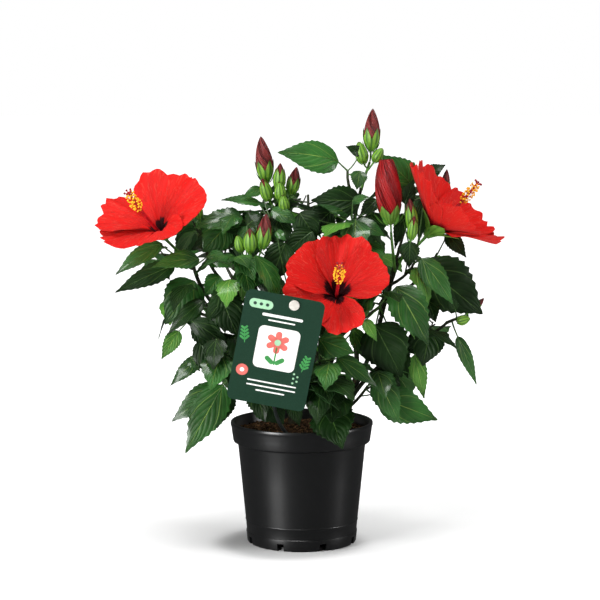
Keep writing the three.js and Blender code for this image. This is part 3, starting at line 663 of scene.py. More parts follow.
GREEN_SHINE = 0xDCECD0
LEAF_FACES = (
    LeafFinish("leaf_dark", 0x183611, 0x0D210B, 0.4, 0.3, vein=0x44622C, coat=0.2),
    LeafFinish("leaf_middle", 0x2F6426, 0x173914, 0.36, 0.45, vein=0x74923F, coat=0.65),
    LeafFinish("leaf_young", 0x558C32, 0x2E601F, 0.38, 0.4, vein=0x9CBC54, coat=0.5),
)
LEAF_BACKS = (
    LeafFinish("leaf_back_dark", 0x305829, 0x20421C, 0.45, vein=0x6C8C4C, relief=0.0004),
    LeafFinish("leaf_back_middle", 0x3F6D31, 0x2A5224, 0.45, vein=0x7E9C5A, relief=0.0004),
    LeafFinish("leaf_back_young", 0x5C8D3D, 0x427230, 0.45, vein=0xA0BC74, relief=0.0004),
)
SHOOT = Finish("green_shoot", 0x4C7030, 0x2C4E20, 0.45, grain=420.0)
BROWN_SHOOT = Finish("ripe_shoot", 0x343D20, 0x1F2815, 0.55, grain=420.0)
STEM_BARK = BarkFinish("stem_bark", 0x48422B, 0x201F14, 0.75, 0.3)
BOUGH_BARK = BarkFinish("bough_bark", 0x333B22, 0x171C11, 0.6, 0.35, mark=0x5C663F)
PETAL = PetalFinish("petal_red", 0xC91A14, 0xDE5244, 0.55, 0.12)
PETAL_BACK = PetalFinish("petal_back", 0xC21A14, 0xD24C3C, 0.55, 0.14, throat=0xA01013)
PETAL_NARROW = PetalFinish("petal_narrow", 0xC91A14, 0xDE5244, 0.55, 0.12, throat_end=0.42)
COLUMN_RED = Finish("column_red", 0xC81420, 0x8E0A16, 0.45, grain=500.0)
ANTHER = Finish("anther_gold", 0xFFD024, 0xF4A010, 0.7, grain=1500.0)
STIGMA = Finish("stigma_red", 0xA80F1C, 0x5C0610, 0.75, grain=1800.0)
ROLLED = StripeFinish(
    "rolled_petals", 0x7C2A28, 0x3E1013, 0.4, stripes=5.0, wind=2.4, width=(-0.3, 0.3), fine=70.0,
    mottle=2.2, relief=0.0024,
)  # fmt: skip
FULL_ROLLED = StripeFinish(
    "full_rolled_petals", 0x9E0C12, 0x56060B, 0.34, stripes=5.0, wind=1.6, width=(-0.4, 0.3), fine=80.0,
    mottle=2.4, relief=0.0035,
)  # fmt: skip
# painted shade: the near-black finish of the hollow in an opening bud's sunken mouth
BUD_MOUTH_SHADE = Finish("bud_mouth", 0x3A0A0E, 0x240408, 0.8)
CALYX_GREEN = StripeFinish("calyx_green", 0x72A030, 0x31601C, 0.42, stripes=10.0, width=(0.0, 0.36))
CALYX_OLIVE = StripeFinish("calyx_olive", 0x628A30, 0x47711F, 0.45, stripes=15.0, width=(0.0, 0.3))
BRACT = Finish("bract_green", 0x5E9432, 0x3C7024, 0.45)
POT_PLASTIC = PotFinish("pot_black", 0x0C0D0E, 0x1A1A1A, 0.3, 1.0, relief=0.00002)
PEAT = SoilFinish("peat_brown", 0x4E3826, 0x1E140C, 0.95, 0.15)
CRUMB = SoilFinish("peat_crumb", 0x7A6040, 0x2C1E12, 0.95, 0.15)
CARD_GREEN = Finish("card_green", 0x173A29, 0x143625, 0.5, 0.22, grain=900.0, relief=0.00001)
INKS = tuple(
    Finish(f"ink_{name}", colour, shade, relief=0.0)
    for name, colour, shade in (
        ("white", 0xF6F6F2, 0xEDEDE8),
        ("mint", 0x9FCFA8, 0x98C9A1),
        ("salmon", 0xDC6A60, 0xD66258),
        ("leaf", 0x3C9A4A, 0x2F8A40),
        ("dark", 0x26463A, 0x1F3D32),
    )
)
BUTTON_CREAM = Finish("button_cream", 0xCBC8C0, 0xC2BEB5, 0.4)
STICK_DARK = Finish("stick_dark", 0x1E2422, 0x151918, 0.4)
# the shade is the colour of the floor's painted shadow near the pot
FLOOR_PALE = FloorFinish("floor_pale", 0xF7F7F7, 0xE3E3E3, 0.6, 0.2)


# Meshes in the making


def placed(name: str, data: bpy.types.ID) -> bpy.types.Object:
    """A new object in the scene.

    Args:
        name: its name.
        data: its mesh, camera or light.

    Returns:
        The object.
    """
    made = bpy.data.objects.new(name, data)
    bpy.context.scene.collection.objects.link(made)
    return made


def baked(name: str, bm: bmesh.types.BMesh) -> bpy.types.Mesh:
    """A new mesh of what bmesh has made, which is used up.

    Args:
        name: its name.
        bm: what bmesh has made.

    Returns:
        The mesh.
    """
    mesh = bpy.data.meshes.new(name)
    bm.to_mesh(mesh)
    bm.free()
    return mesh


class Clay:
    """A mesh in the making, in millimetres, that bmesh operators shape."""

    def __init__(self) -> None:
        """Starts with nothing but an empty UV map."""
        self.bm = bmesh.new()
        self.uv = self.bm.loops.layers.uv.new("UVMap")

    def sheet(
        self,
        across: int,
        along: int,
        place: Surface,
        ink: int = 0,
        merge: bool = False,
    ) -> list[bmesh.types.BMVert]:
        """Lays a grid over a surface.

        Args:
            across: how many faces across.
            along: how many faces along.
            place: gives the place of each vertex from its two shares, 0 to 1.
            ink: the material's index.
            merge: whether vertices that meet become one, at a seam or a pole.

        Returns:
            The grid's vertices, as they were laid.
        """
        made = bmesh.ops.create_grid(self.bm, x_segments=across, y_segments=along, size=1)["verts"]
        shares = {vert: ((vert.co.x + 1) / 2, (vert.co.y + 1) / 2) for vert in made}
        for face in {face for vert in made for face in vert.link_faces}:
            face.material_index = ink
            face.smooth = True
            for loop in face.loops:
                loop[self.uv].uv = shares[loop.vert]
        for vert, (u, v) in shares.items():
            vert.co = place(u, v)
        if merge:
            bmesh.ops.remove_doubles(self.bm, verts=made, dist=MEETING)
        return [vert for vert in made if vert.is_valid]

    def tube(
        self,
        curve: Curve,
        radius: Callable[[float], float],
        sides: int = 5,
        rings: int = 5,
        ink: int = 0,
        relief: Callable[[float, float], float] | None = None,
    ) -> None:
        """Lays a closed round body along a curve.

        Args:
            curve: the curve.
            radius: the radius at each share of it.
            sides: how many faces round it.
            rings: how many rings of vertices.
            ink: the material's index.
            relief: a factor on the radius at a share and a turn, for bark.
        """
        stations = curve.stations(rings)
        last = rings + 1

        def place(u: float, v: float) -> Vector:
            """A vertex on the body.

            Args:
                u: the share round.
                v: the share along.

            Returns:
                Its place.
            """
            row = round(v * last)
            at = stations[min(max(row - 1, 0), rings - 1)]
            if row in (0, last):
                return at.centre.copy()
            angle = (u % 1) * TURN
            return at.beside(angle, radius(at.share) * (relief(at.share, angle) if relief else 1))

        self.sheet(sides, last, place, ink, merge=True)

    def ball(self, centre: Vector, radius: float, ink: int = 0, stretch: Vector | None = None) -> None:
        """Adds a small faceted ball of twenty faces, drawn out along a direction if one is given.

        Args:
            centre: its middle.
            radius: its radius.
            ink: the material's index.
            stretch: which way it is drawn out, and by what share.
        """
        made = bmesh.ops.create_icosphere(self.bm, subdivisions=1, radius=radius)["verts"]
        for vert in made:
            if stretch:
                vert.co += stretch * vert.co.dot(stretch) / stretch.length
            vert.co += centre
        for face in {face for vert in made for face in vert.link_faces}:
            face.material_index = ink
            face.smooth = True

    def absorb(self, other: "Clay", matrix: Matrix | None = None, ink: int | None = None) -> None:
        """Takes in another mesh.

        Args:
            other: the other mesh, which is used up.
            matrix: moves it first.
            ink: the material's index that all its faces get.
        """
        if matrix:
            other.bm.transform(matrix)
        if ink is not None:
            for face in other.bm.faces:
                face.material_index = ink
        carried = baked("carried", other.bm)
        self.bm.from_mesh(carried)
        bpy.data.meshes.remove(carried)

    def raise_all(self, height: float) -> None:
        """Draws a flat mesh's faces out upward to a closed body.

        Args:
            height: how far.
        """
        drawn = bmesh.ops.extrude_face_region(self.bm, geom=list(self.bm.faces))["geom"]
        risen = [part for part in drawn if isinstance(part, bmesh.types.BMVert)]
        bmesh.ops.translate(self.bm, vec=(0, 0, height), verts=risen)
        bmesh.ops.recalc_face_normals(self.bm, faces=self.bm.faces)

    def bevel(self, parts: Sequence[object], offset: float, segments: int, affect: str) -> None:
        """Rounds corners or edges off.

        Args:
            parts: the vertices or edges.
            offset: how far the rounding reaches.
            segments: how many faces it takes.
            affect: VERTICES or EDGES.
        """
        bmesh.ops.bevel(
            self.bm, geom=parts, offset=offset, segments=segments, profile=0.5, affect=affect, material=-1
        )

    def cut_at_ground(self) -> None:
        """Cuts the mesh flat where it leaves the ground."""
        whole = [*self.bm.verts, *self.bm.edges, *self.bm.faces]
        bmesh.ops.bisect_plane(
            self.bm, geom=whole, plane_co=(0, 0, GROUND), plane_no=(0, 0, -1), clear_outer=True
        )
        rim = [edge for edge in self.bm.edges if edge.is_boundary]
        bmesh.ops.holes_fill(self.bm, edges=rim)

    def fire(
        self,
        name: str,
        finishes: Sequence[Finish],
        slot: Slot,
        nodes: Sequence[str] = (),
        thickness: float = 0.0,
        back: int = 0,
        sharp: float = 40.0,
        cutter: bpy.types.Object | None = None,
    ) -> None:
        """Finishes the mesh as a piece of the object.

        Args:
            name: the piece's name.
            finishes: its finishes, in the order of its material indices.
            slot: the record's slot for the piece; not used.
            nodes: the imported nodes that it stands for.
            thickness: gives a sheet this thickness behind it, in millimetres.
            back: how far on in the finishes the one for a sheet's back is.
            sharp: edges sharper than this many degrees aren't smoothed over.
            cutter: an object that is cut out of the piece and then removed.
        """
        bmesh.ops.scale(self.bm, vec=(MM, MM, MM), verts=self.bm.verts)
        mesh = baked(name, self.bm)
        for finish in finishes:
            mesh.materials.append(material_of(finish))
        piece = placed(name, mesh)
        if thickness:
            wall = piece.modifiers.new("wall", "SOLIDIFY")
            wall.thickness = thickness * MM
            wall.offset = -1
            wall.material_offset = back
            wall.material_offset_rim = back
        if cutter:
            cut = piece.modifiers.new("cut", "BOOLEAN")
            cut.object = cutter
            cut.solver = "EXACT"
        if thickness or cutter:
            shown = piece.evaluated_get(bpy.context.evaluated_depsgraph_get())
            piece.data = bpy.data.meshes.new_from_object(shown)
            piece.modifiers.clear()
            bpy.data.meshes.remove(mesh)
            piece.data.name = name
        if cutter:
            bpy.data.objects.remove(cutter)
        piece.data.set_sharp_from_angle(angle=math.radians(sharp))
        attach(piece, "root")
        if nodes:
            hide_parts(*nodes)
        piece.data.calc_loop_triangles()
        log.info("%s: %d triangles", name, len(piece.data.loop_triangles))


# Tables of the design, as in the part's source


@dataclass(frozen=True)
class Limb:
    """A stem or bough: its path, the radius at its two ends, and its flare at the root."""

    name: str
    path: Sequence[Place]
    radii: Span
    flare: float = 0.0


@dataclass(frozen=True)
class Petal:
    """How one petal differs: its turn and spread in degrees, its size and how it curls back."""

    turn: float = 0.0
    size: float = 1.0
    curl: float = 0.0
    spread: float = 46.0


@dataclass(frozen=True)
class Funnel:
    """How a bloom opens: its straightness and height, its petals and its column's sway."""

    cone: float
    tall: float
    petals: Sequence[Petal]
    sway: Place = (0, 0, 0)
    ink: int = 0


@dataclass(frozen=True)
class BloomPlan:
    """An open bloom: its stalk, foot and axis, the size of its face and its column."""

    name: str
    stalk: Sequence[Place]
    foot: Place
    axis: Place
    radius: float
    height: float
    roll: float
    column: float
    lift: float
    funnel: Funnel


@dataclass(frozen=True)
class Bud:
    """A bud, and the share of its length that the rolled petals take above the calyx."""

    foot: Place
    tip: Place
    width: float
    petals: float


@dataclass(frozen=True)
class Cluster:
    """A twig with its buds."""

    name: str
    twig: Sequence[Place]
    buds: Sequence[Bud]


@dataclass(frozen=True)
class ShowLeaf:
    """A leaf that the photograph shows: its blade's foot and tip, width and facing."""

    foot: Place
    tip: Place
    width: float
    face: float
    tint: Tint | None = None


@dataclass(frozen=True)
class MassPlan:
    """A mass, as its node names it: its stem, round space, twigs, show leaves, buds, finer twigs."""

    name: str
    stem: Sequence[Place]
    centre: Place
    radius: float
    twigs: int
    leaves: Sequence[ShowLeaf] = ()
    buds: Sequence[Bud] = ()
    finer: int = 4


# fmt: off
LIMBS = (
    Limb("stem_main", ((16, -10, 100.3), (15.5, -10, 127), (14, -8, 148), (8, -2, 168)), (4.2, 3.3), 1.9),
    Limb("stem_right", ((39.4, 8.2, 100.3), (45, 6, 130), (52, 5, 160)), (3.3, 2.6), 1.5),
    Limb("stem_back", ((-7.6, 27.4, 100.3), (-12, 36, 138), (-14, 42, 172)), (3.5, 2.8), 1.6),
    Limb("bough_left", ((13, -6.4, 153), (-30, -10, 186), (-72, -12, 214), (-99, -12, 258)), (2.7, 1.6)),
    Limb("bough_centre", ((9, -3.2, 165), (2, 4, 205), (-8, 8, 248), (-16, 10, 290)), (2.9, 1.6)),
    Limb("bough_front", ((14.4, -8.4, 144), (26, -28, 168), (30, -36, 194)), (2.1, 1.6)),
    Limb("bough_low_left", ((15.6, -10, 125), (-18, -26, 148), (-50, -34, 170)), (2.3, 1.6)),
    Limb("bough_bud", ((-26, -9.7, 183), (-36, -24, 214), (-42, -34, 246)), (1.7, 1.4)),
    Limb("bough_top", ((51.6, 5, 157), (48, 10, 212), (46, 12, 268), (55, 12, 328)), (2.4, 1.5)),
    Limb("bough_right", ((46.6, 5.7, 139), (66, 0, 184), (78, -4, 228), (91, -8, 266)), (2.3, 1.5)),
    Limb("bough_low_right", ((45.4, 6, 131), (75, -8, 168), (106, -13, 188), (133, -18, 207)), (2.1, 1.3)),
    Limb("bough_right_high", ((72, -2, 212), (84, 10, 250), (97, 18, 295)), (1.8, 1.3)),
    Limb("bough_back_left", ((-12.7, 38, 148), (-40, 62, 190), (-68, 80, 240)), (2.3, 1.5)),
    Limb("bough_back_top", ((-13.9, 41.4, 168), (-8, 54, 228), (4, 62, 290)), (2.4, 1.5)),
    Limb("bough_back_right", ((-11, 34, 130), (22, 62, 175), (58, 84, 228)), (2.3, 1.5)),
    Limb("bough_left_high", ((-13.4, 39.8, 160), (-40, 30, 206), (-72, 12, 240), (-88, 10, 272)),
        (2.1, 1.3)),
    Limb("bough_side_right", ((23, 62.6, 176), (66, 58, 206), (106, 46, 236)), (1.8, 1.3)),
    Limb("bough_side_left", ((-41, 62.6, 192), (-80, 56, 200), (-112, 44, 216)), (1.8, 1.3)),
)
BLOOM_PLANS = (
    BloomPlan("bloom_left",
        stalk=((-98.6, -12, 256), (-114, -9, 272)), foot=(-125.5, -12.2, 284), axis=(-0.28, -0.55, 0.78),
        radius=54, height=38, roll=28, column=66, lift=0,
        funnel=Funnel(0.5, 0.9, (
            Petal(-23, 0.95, 0, 62), Petal(-4, 0.975, 0, 52), Petal(-36, 0.99, 0.02, 54),
            Petal(-29, 0.88, 0, 52), Petal(-27, 0.95, 0, 54),
        ), sway=(-11, 2, -8), ink=2),
    ),
    BloomPlan("bloom_front",
        stalk=((29.9, -35.8, 192), (30, -34, 212)), foot=(31, -40, 232), axis=(0.03, -0.9, 0.43),
        radius=48.5, height=32, roll=-8, column=66, lift=7,
        funnel=Funnel(0.35, 1.0, (
            Petal(-3, 1.03, 0, 52), Petal(-20, 1.01, 0, 60), Petal(-22, 1.0, 0, 58),
            Petal(-21, 0.88, 0, 50), Petal(16, 0.97, 0, 50),
        )),
    ),
    BloomPlan("bloom_right",
        stalk=((90.7, -8, 265), (103, -8, 274)), foot=(114, -5, 285), axis=(0.66, -0.08, 0.75),
        radius=59, height=40, roll=40, column=68, lift=0,
        funnel=Funnel(1.0, 1.08, (
            Petal(-9, 0.94, 0.02, 58), Petal(-4, 0.84, 0.04, 54), Petal(0, 0.915, 0, 50),
            Petal(-14, 0.9, -0.06, 56), Petal(-5, 0.89, -0.06, 58),
        ), sway=(1.5, 0, -2)),
    ),
)
CLUSTERS = (
    Cluster("buds_a", ((-15.9, 10, 288), (-18, 9, 300), (-18, 8, 311)), (
        Bud((-32, 6, 333), (-37.5, 4, 376), 16.5, 0.56), Bud((-21, -2, 326), (-19.5, -6, 352), 11, 0.2),
        Bud((-10, 4, 322), (-4.5, 2, 348), 12, 0.4), Bud((-30, 0, 316), (-36, -6, 338), 11, 0.1),
        Bud((-19, -6, 317), (-20.5, -10, 335), 10.5, 0.0), Bud((-15, -8, 307), (-17.5, -13, 323), 10, 0.0),
    )),
    Cluster("buds_b", ((-41.7, -33.6, 244), (-43, -38, 254), (-43, -41, 263)), (
        Bud((-36, -45, 276), (-31.5, -48, 309), 14, 0.4),
        Bud((-46, -47, 273), (-46.5, -51, 296), 12, 0.12), Bud((-54, -42, 273), (-58, -44, 289), 9, 0.0),
    )),
    Cluster("buds_c", ((54.7, 12, 326), (58, 11, 338), (62.5, 10, 352)), (
        Bud((63.5, 10, 361), (65.2, 10, 401), 15.5, 0.5), Bud((57, 6, 350), (52, 4, 371), 11.5, 0.0),
        Bud((66, 5, 352), (74, 2, 365), 9.5, 0.0),
    )),
    Cluster("buds_d", ((85.7, -6.3, 252), (83, -16, 272), (81, -20, 290)), (
        Bud((80.8, -20, 296), (76, -20, 356), 25, 0.72),
    )),
    Cluster("buds_e", ((89.3, -7.4, 261), (94, -17, 271), (98, -20, 282)), (
        Bud((101, -20, 288), (97.5, -26, 321), 11, 0.2), Bud((99, -27, 283), (101.5, -33, 306), 9, 0.15),
    )),
)
MASSES = (
    MassPlan("top", ((52.2, 12, 314), (44, 7, 328), (42, 5, 344)), (24, 6, 345), 60, 2, (
        ShowLeaf((34, 4, 353), (-22, -12, 362), 31, 60, MIDDLE),
        ShowLeaf((53, -8, 345), (50, -14, 328), 15, 85), ShowLeaf((54, 2, 360), (40, -4, 367), 10, 70),
    )),
    MassPlan("top_right", ((96.7, 18, 293), (97, 30, 306), (100, 44, 318)), (104, 50, 325), 54, 3, (
        ShowLeaf((104, 38, 328), (74, 30, 358), 30, 75, MIDDLE),
        ShowLeaf((117, 62, 336), (136, 62, 347), 14, 60), ShowLeaf((95, 12, 313), (103, 13, 336), 14, 80),
    ), buds=(Bud((134.8, 64, 317), (137.6, 66, 342.5), 9, 0.5),)),
    MassPlan("right", ((81.3, -5.2, 240), (94, -17, 250), (102, -24, 262)), (124, -10, 246), 54, 1, (
        ShowLeaf((108, -30, 267), (137, -38, 226), 22, 70, MIDDLE),
        ShowLeaf((112, -14, 258), (166, -16, 214), 50, 85, DARK),
        ShowLeaf((98, -26, 282), (97, -30, 258), 18, 90, DARK),
        ShowLeaf((112, -2, 320), (107, -8, 279), 13, 85, DARK),
        ShowLeaf((92, -4, 306), (85, -10, 273), 11, 85, DARK),
    )),
    MassPlan("right_low",
        ((73.6, -2.6, 217), (72, -18, 222), (76, -34, 232)), (78, -40, 208), 50, 1, (
        ShowLeaf((85, -42, 243), (114, -54, 191), 34, 75, MIDDLE),
        ShowLeaf((66, -32, 207), (91, -38, 159), 44, 85, DARK),
        ShowLeaf((56, -60, 215), (67, -66, 196), 11, 70, YOUNG),
        ShowLeaf((88, -18, 186), (97, -24, 156), 16, 85, DARK),
        ShowLeaf((115, -20, 228), (122, -26, 208), 16, 85, DARK),
    ), finer=14),
    MassPlan("right_mid",
        ((104, -12.8, 187), (107, -17, 198), (112, -18, 205)), (116, -6, 178), 54, 2, (
        ShowLeaf((117, -22, 202), (110, -30, 168), 30, 80, DARK),
        ShowLeaf((103, -22, 178), (112, -26, 137), 16, 90, YOUNG),
        ShowLeaf((122, -8, 195), (93, -14, 179), 30, 85, DARK),
    )),
    MassPlan("right_tip",
        ((132.4, -17.9, 206.6), (140, -19, 210), (148, -20, 213)), (142, -14, 192), 46, 1, (
        ShowLeaf((142, -22, 195), (160, -26, 150), 12, 75, MIDDLE),
        ShowLeaf((140, -24, 219), (134, -27, 232), 9, 70),
    ), buds=(
        Bud((141, -22, 208), (153.5, -24, 211.5), 8.5, 0.0),
        Bud((158.5, -4, 217.5), (167.6, -4, 227.7), 6, 0.5),
    )),
    MassPlan("right_bottom",
        ((43.8, 6.4, 124), (52, -14, 136), (60, -30, 150)), (86, -24, 140), 48, 2, (
        ShowLeaf((68, -46, 160), (88, -52, 120), 25, 75, MIDDLE),
        ShowLeaf((70, -34, 140), (124, -38, 120), 32, 75, MIDDLE),
        ShowLeaf((67, -24, 163), (92, -30, 144), 24, 80, DARK),
    ), finer=8),
    MassPlan("low_front",
        ((15.8, -10, 116), (17, -34, 140), (16, -52, 176)), (30, -54, 152), 60, 1, (
        ShowLeaf((31, -60, 181), (68, -64, 155), 18, 60, MIDDLE),
        ShowLeaf((15, -64, 198), (47, -70, 186), 26, 80, MIDDLE),
        ShowLeaf((12, -50, 158), (40, -60, 147), 24, 80, DARK),
        ShowLeaf((24, -46, 131), (36, -82, 103), 40, 75, DARK),
        ShowLeaf((47, -18, 201), (61, -24, 171), 15, 85),
    ), finer=14),
    MassPlan("low_left",
        ((-49, -33.7, 169.2), (-60, -35, 178), (-72, -34, 184)), (-70, -34, 150), 70, 2, (
        ShowLeaf((-71, -40, 153), (-105, -58, 93), 32, 75, MIDDLE),
        ShowLeaf((-92, -30, 177), (-120, -34, 151), 15, 60, MIDDLE),
        ShowLeaf((-60, -38, 198), (-81, -42, 155), 38, 85, DARK),
        ShowLeaf((-42, -44, 150), (-33, -60, 122), 22, 80, DARK),
        ShowLeaf((-36, -36, 141), (-16, -44, 117), 30, 75, DARK),
        ShowLeaf((-74, -38, 151), (-118, -50, 121), 25, 70, MIDDLE),
        ShowLeaf((-71, -34, 148), (-77, -42, 113), 26, 75, DARK),
        ShowLeaf((-9, -40, 137), (-2, -46, 116), 14, 70, DARK),
        ShowLeaf((-95, -44, 211), (-72, -50, 186), 26, 70, DARK),
        ShowLeaf((-101, -40, 179), (-92, -46, 166), 12, 80),
    ), finer=12),
    MassPlan("left", ((-74.5, -12, 217), (-82, -22, 222), (-94, -28, 224)), (-96, -26, 212), 58, 1, (
        ShowLeaf((-97, -26, 246), (-124, -34, 207), 36, 85, MIDDLE),
        ShowLeaf((-88, -36, 230), (-122, -44, 199), 16, 50, DARK),
        ShowLeaf((-112, -22, 200), (-128, -26, 174), 15, 80, YOUNG),
        ShowLeaf((-100, -46, 212), (-62, -52, 186), 20, 50, DARK),
        ShowLeaf((-60, -40, 242), (-86, -60, 214), 25, 75, DARK),
        ShowLeaf((-74, -50, 238), (-57, -56, 198), 32, 85, DARK),
        ShowLeaf((-74, -30, 251), (-88, -36, 233), 18, 80, MIDDLE),
        ShowLeaf((-92, -40, 194), (-77, -46, 156), 22, 85, DARK),
    )),
    MassPlan("left_tip",
        ((-95.5, -12, 249), (-100, -20, 258), (-110, -28, 266)), (-118, -24, 256), 62, 1, (
        ShowLeaf((-114, -38, 262), (-168, -48, 238), 19, 70, DARK),
        ShowLeaf((-126, -26, 280), (-169, -34, 253), 17, 60, MIDDLE),
        ShowLeaf((-92, -38, 267), (-134, -52, 262), 22, 45, MIDDLE),
        ShowLeaf((-86, -28, 269), (-64, -32, 259), 17, 60, MIDDLE),
        ShowLeaf((-129, -20, 263), (-120, -26, 247), 14, 80, DARK),
    )),
    MassPlan("upper_left",
        ((-12.4, 9.2, 270), (-34, 8, 284), (-46, 4, 292)), (-60, 14, 284), 50, 2, (
        ShowLeaf((-54, -4, 302), (-98, -10, 293), 24, 50, MIDDLE),
        ShowLeaf((-56, 4, 294), (-102, 4, 271), 31, 70, DARK),
        ShowLeaf((-69, 0, 294), (-91, -6, 270), 30, 80), ShowLeaf((-49, 2, 295), (-71, -4, 289), 20, 70),
    )),
    MassPlan("top_left", ((-14.3, 9.7, 280), (-22, 0, 290), (-29, -6, 301)), (-26, 10, 304), 58, 3, (
        ShowLeaf((-38, 0, 314), (-74, -2, 319), 14, 35),
        ShowLeaf((-36, -14, 298), (-52, -18, 305), 14, 75),
        ShowLeaf((-28, -12, 309), (-2, -18, 297), 14, 60), ShowLeaf((4, -6, 309), (4, -14, 287), 15, 85),
        ShowLeaf((-37, 2, 328), (-54, -4, 321), 10, 75, MIDDLE),
    ), finer=10),
    MassPlan("centre_left",
        ((-40, -31, 236), (-46, -40, 244), (-50, -46, 252)), (-54, -42, 250), 52, 4, (
        ShowLeaf((-43, -54, 263), (-47, -62, 242), 30, 85, MIDDLE),
        ShowLeaf((-56, -46, 266), (-74, -50, 272), 9, 40),
        ShowLeaf((-43, -50, 261), (-27, -56, 254), 9, 80),
        ShowLeaf((-50, -26, 296), (-36, -32, 306), 18, 60),
    ), finer=18),
    MassPlan("centre", ((46, 12, 266), (44, 0, 282), (46, -8, 298)), (36, -6, 286), 60, 4, (
        ShowLeaf((44, -4, 310), (14, -10, 315), 27, 45), ShowLeaf((48, -24, 299), (76, -32, 287), 16, 55),
        ShowLeaf((46, -14, 318), (62, -22, 322), 11, 50),
        ShowLeaf((-2, -14, 307), (14, -20, 282), 25, 80, DARK),
        ShowLeaf((27, -4, 308), (2, -10, 285), 25, 85, DARK),
        ShowLeaf((54, -2, 316), (8, -8, 318), 27, 70, DARK),
        ShowLeaf((69, 2, 318), (53, -4, 303), 14, 70, DARK),
    ), finer=22),
    MassPlan("front", ((25, -26.4, 166), (6, -34, 192), (-8, -32, 222)), (-6, -30, 228), 60, 4, (
        ShowLeaf((-15, -28, 281), (-30, -34, 242), 27, 85, DARK),
        ShowLeaf((-40, -38, 251), (-8, -44, 236), 20, 80, DARK),
        ShowLeaf((-23, -48, 293), (-14, -54, 285), 8, 70),
        ShowLeaf((10, -22, 291), (-16, -28, 271), 22, 70, DARK),
    ), finer=26),
    MassPlan("left_high",
        ((-87.6, 10, 271), (-91, 10, 280), (-94, 11, 290)), (-92, 30, 270), 46, 3,
        buds=(Bud((-94, 8, 299), (-96.5, 5, 315), 8, 0.15),),
    ),
    MassPlan("side_left",
        ((-111.3, 44.2, 215.7), (-118, 42, 221), (-124, 40, 228)), (-122, 36, 214), 54, 4, finer=8),
    MassPlan("side_right",
        ((105.4, 46.1, 235.6), (112, 44, 243), (120, 40, 252)), (116, 42, 240), 58, 4, (
        ShowLeaf((134, 14, 286), (152, 6, 264), 15, 70),
    ), finer=10),
    MassPlan("back_left",
        ((-67.5, 79.7, 239), (-74, 84, 252), (-78, 88, 268)), (-74, 92, 248), 62, 5, finer=12),
    MassPlan("back_top",
        ((3.8, 61.9, 289), (6, 66, 302), (6, 70, 318)), (6, 70, 308), 60, 5, finer=12),
    MassPlan("back_right",
        ((57.4, 83.7, 227.2), (64, 88, 240), (70, 92, 256)), (66, 96, 242), 62, 5, finer=12),
    MassPlan("back_low",
        ((-9.9, 31.9, 121), (-12, 56, 146), (-14, 78, 172)), (-10, 88, 170), 64, 5, finer=14),
)
# fmt: on


# Leaves


@dataclass
class Blade:
    """Where a leaf's blade lies, which way it faces and how it bends."""

    start: Vector
    along: Vector
    length: float
    normal: Vector
    width: float
    fold: float = 0.16
    cup: float = 0.0
    droop: float = 0.0
    twist: float = 0.0
    wave: float = 0.0
    phase: float = 0.0
    teeth: float = 0.1

    ARCH = 0.07
    SKEW = 0.62

    @classmethod
    def shown(cls, leaf: ShowLeaf) -> "Blade":
        """The blade of a show leaf.

        Args:
            leaf: the show leaf.

        Returns:
            Its blade.
        """
        start = Vector(leaf.foot)
        reach = Vector(leaf.tip) - start
        along = reach.normalized()
        tilt = math.radians(leaf.face)
        aim = UP * math.cos(tilt) + FRONT * math.sin(tilt)
        return cls(start, along, reach.length, square_to(aim, along), leaf.width)

    def middle(self, share: float) -> Vector:
        """The place on the blade's rib at a share of its length."""
        arch = self.ARCH * self.length * 4 * share * (1 - share)
        return self.start + self.along * (self.length * share) + self.normal * arch

    def half(self, share: float) -> float:
        """Half the blade's width at a share of its length."""
        return self.width / 2 * math.sin(math.pi * min(1.0, share) ** self.SKEW)

    def bend_freely(self, dice: Dice, most: float = 1.0) -> "Blade":
        """Deals the blade its own fold, cup, droop, twist and wave.

        Args:
            dice: the chances.
            most: how strong they are.

        Returns:
            The blade itself.
        """
        self.fold = dice.within((0.1, 0.34))
        self.cup = dice.within((0.05, 0.3))
        self.droop = dice.within((0.0, 0.1)) * most
        self.twist = dice.within((-0.7, 0.7)) * most
        self.wave = dice.within((0.03, 0.12))
        self.phase = dice.within((0, TURN))
        self.teeth = dice.within((0.05, 0.13))
        return self

    def surface(self, rows: int) -> Surface:
        """The blade's face as a surface.

        Args:
            rows: how many rows it will be laid in, which sets the teeth of its edge.

        Returns:
            A function that gives the place at a share across and along.
        """
        side = self.normal.cross(self.along)

        def place(u: float, v: float) -> Vector:
            """A vertex of the blade.

            Args:
                u: the share across.
                v: the share along.

            Returns:
                Its place.
            """
            across = 1 - 2 * u
            half = self.half(v) * (1.08 - 0.2 * ease(0.66, 1.0, v))
            spot = self.middle(v)
            if abs(across) > 0.9 and 0.12 < v < 0.98:
                if round(v * rows) % 2:
                    spot += self.along * (0.25 * self.length / rows)
                else:
                    half *= 1 - self.teeth
            turn = self.twist * (v - 0.2)
            ripple = math.sin(self.phase + TURN * 2.2 * v + across) * self.wave * across**2
            lift = self.fold * abs(across) - self.cup * across**2 + ripple
            over = side * math.cos(turn) + self.normal * math.sin(turn)
            spot += over * (half * across) + self.normal * (half * lift)
            return spot - self.normal * (self.droop * self.length * v**2.4)

        return place

    def outline(self) -> tuple[list[Vector], list[Sequence[int]]]:
        """A rough net of the blade, a little wider than it is, to measure clearance with.

        Returns:
            The net's places and faces.
        """
        side = self.normal.cross(self.along)
        places = [self.start.copy(), self.middle(1)]
        for share in (0.25, 0.6):
            half = self.half(share) * 1.06
            for across in (-1, 0, 1):
                lift = half * self.fold * abs(across)
                places.append(self.middle(share) + side * (half * across) + self.normal * lift)
        faces = [(0, 2, 3), (0, 3, 4), (2, 5, 6, 3), (3, 6, 7, 4), (5, 1, 6), (6, 1, 7)]
        return places, faces


@dataclass
class Leaf:
    """A blade with its stalk's root and its green."""

    blade: Blade
    root: Vector
    tint: Tint
    across: int = 4
    rows: int = 12


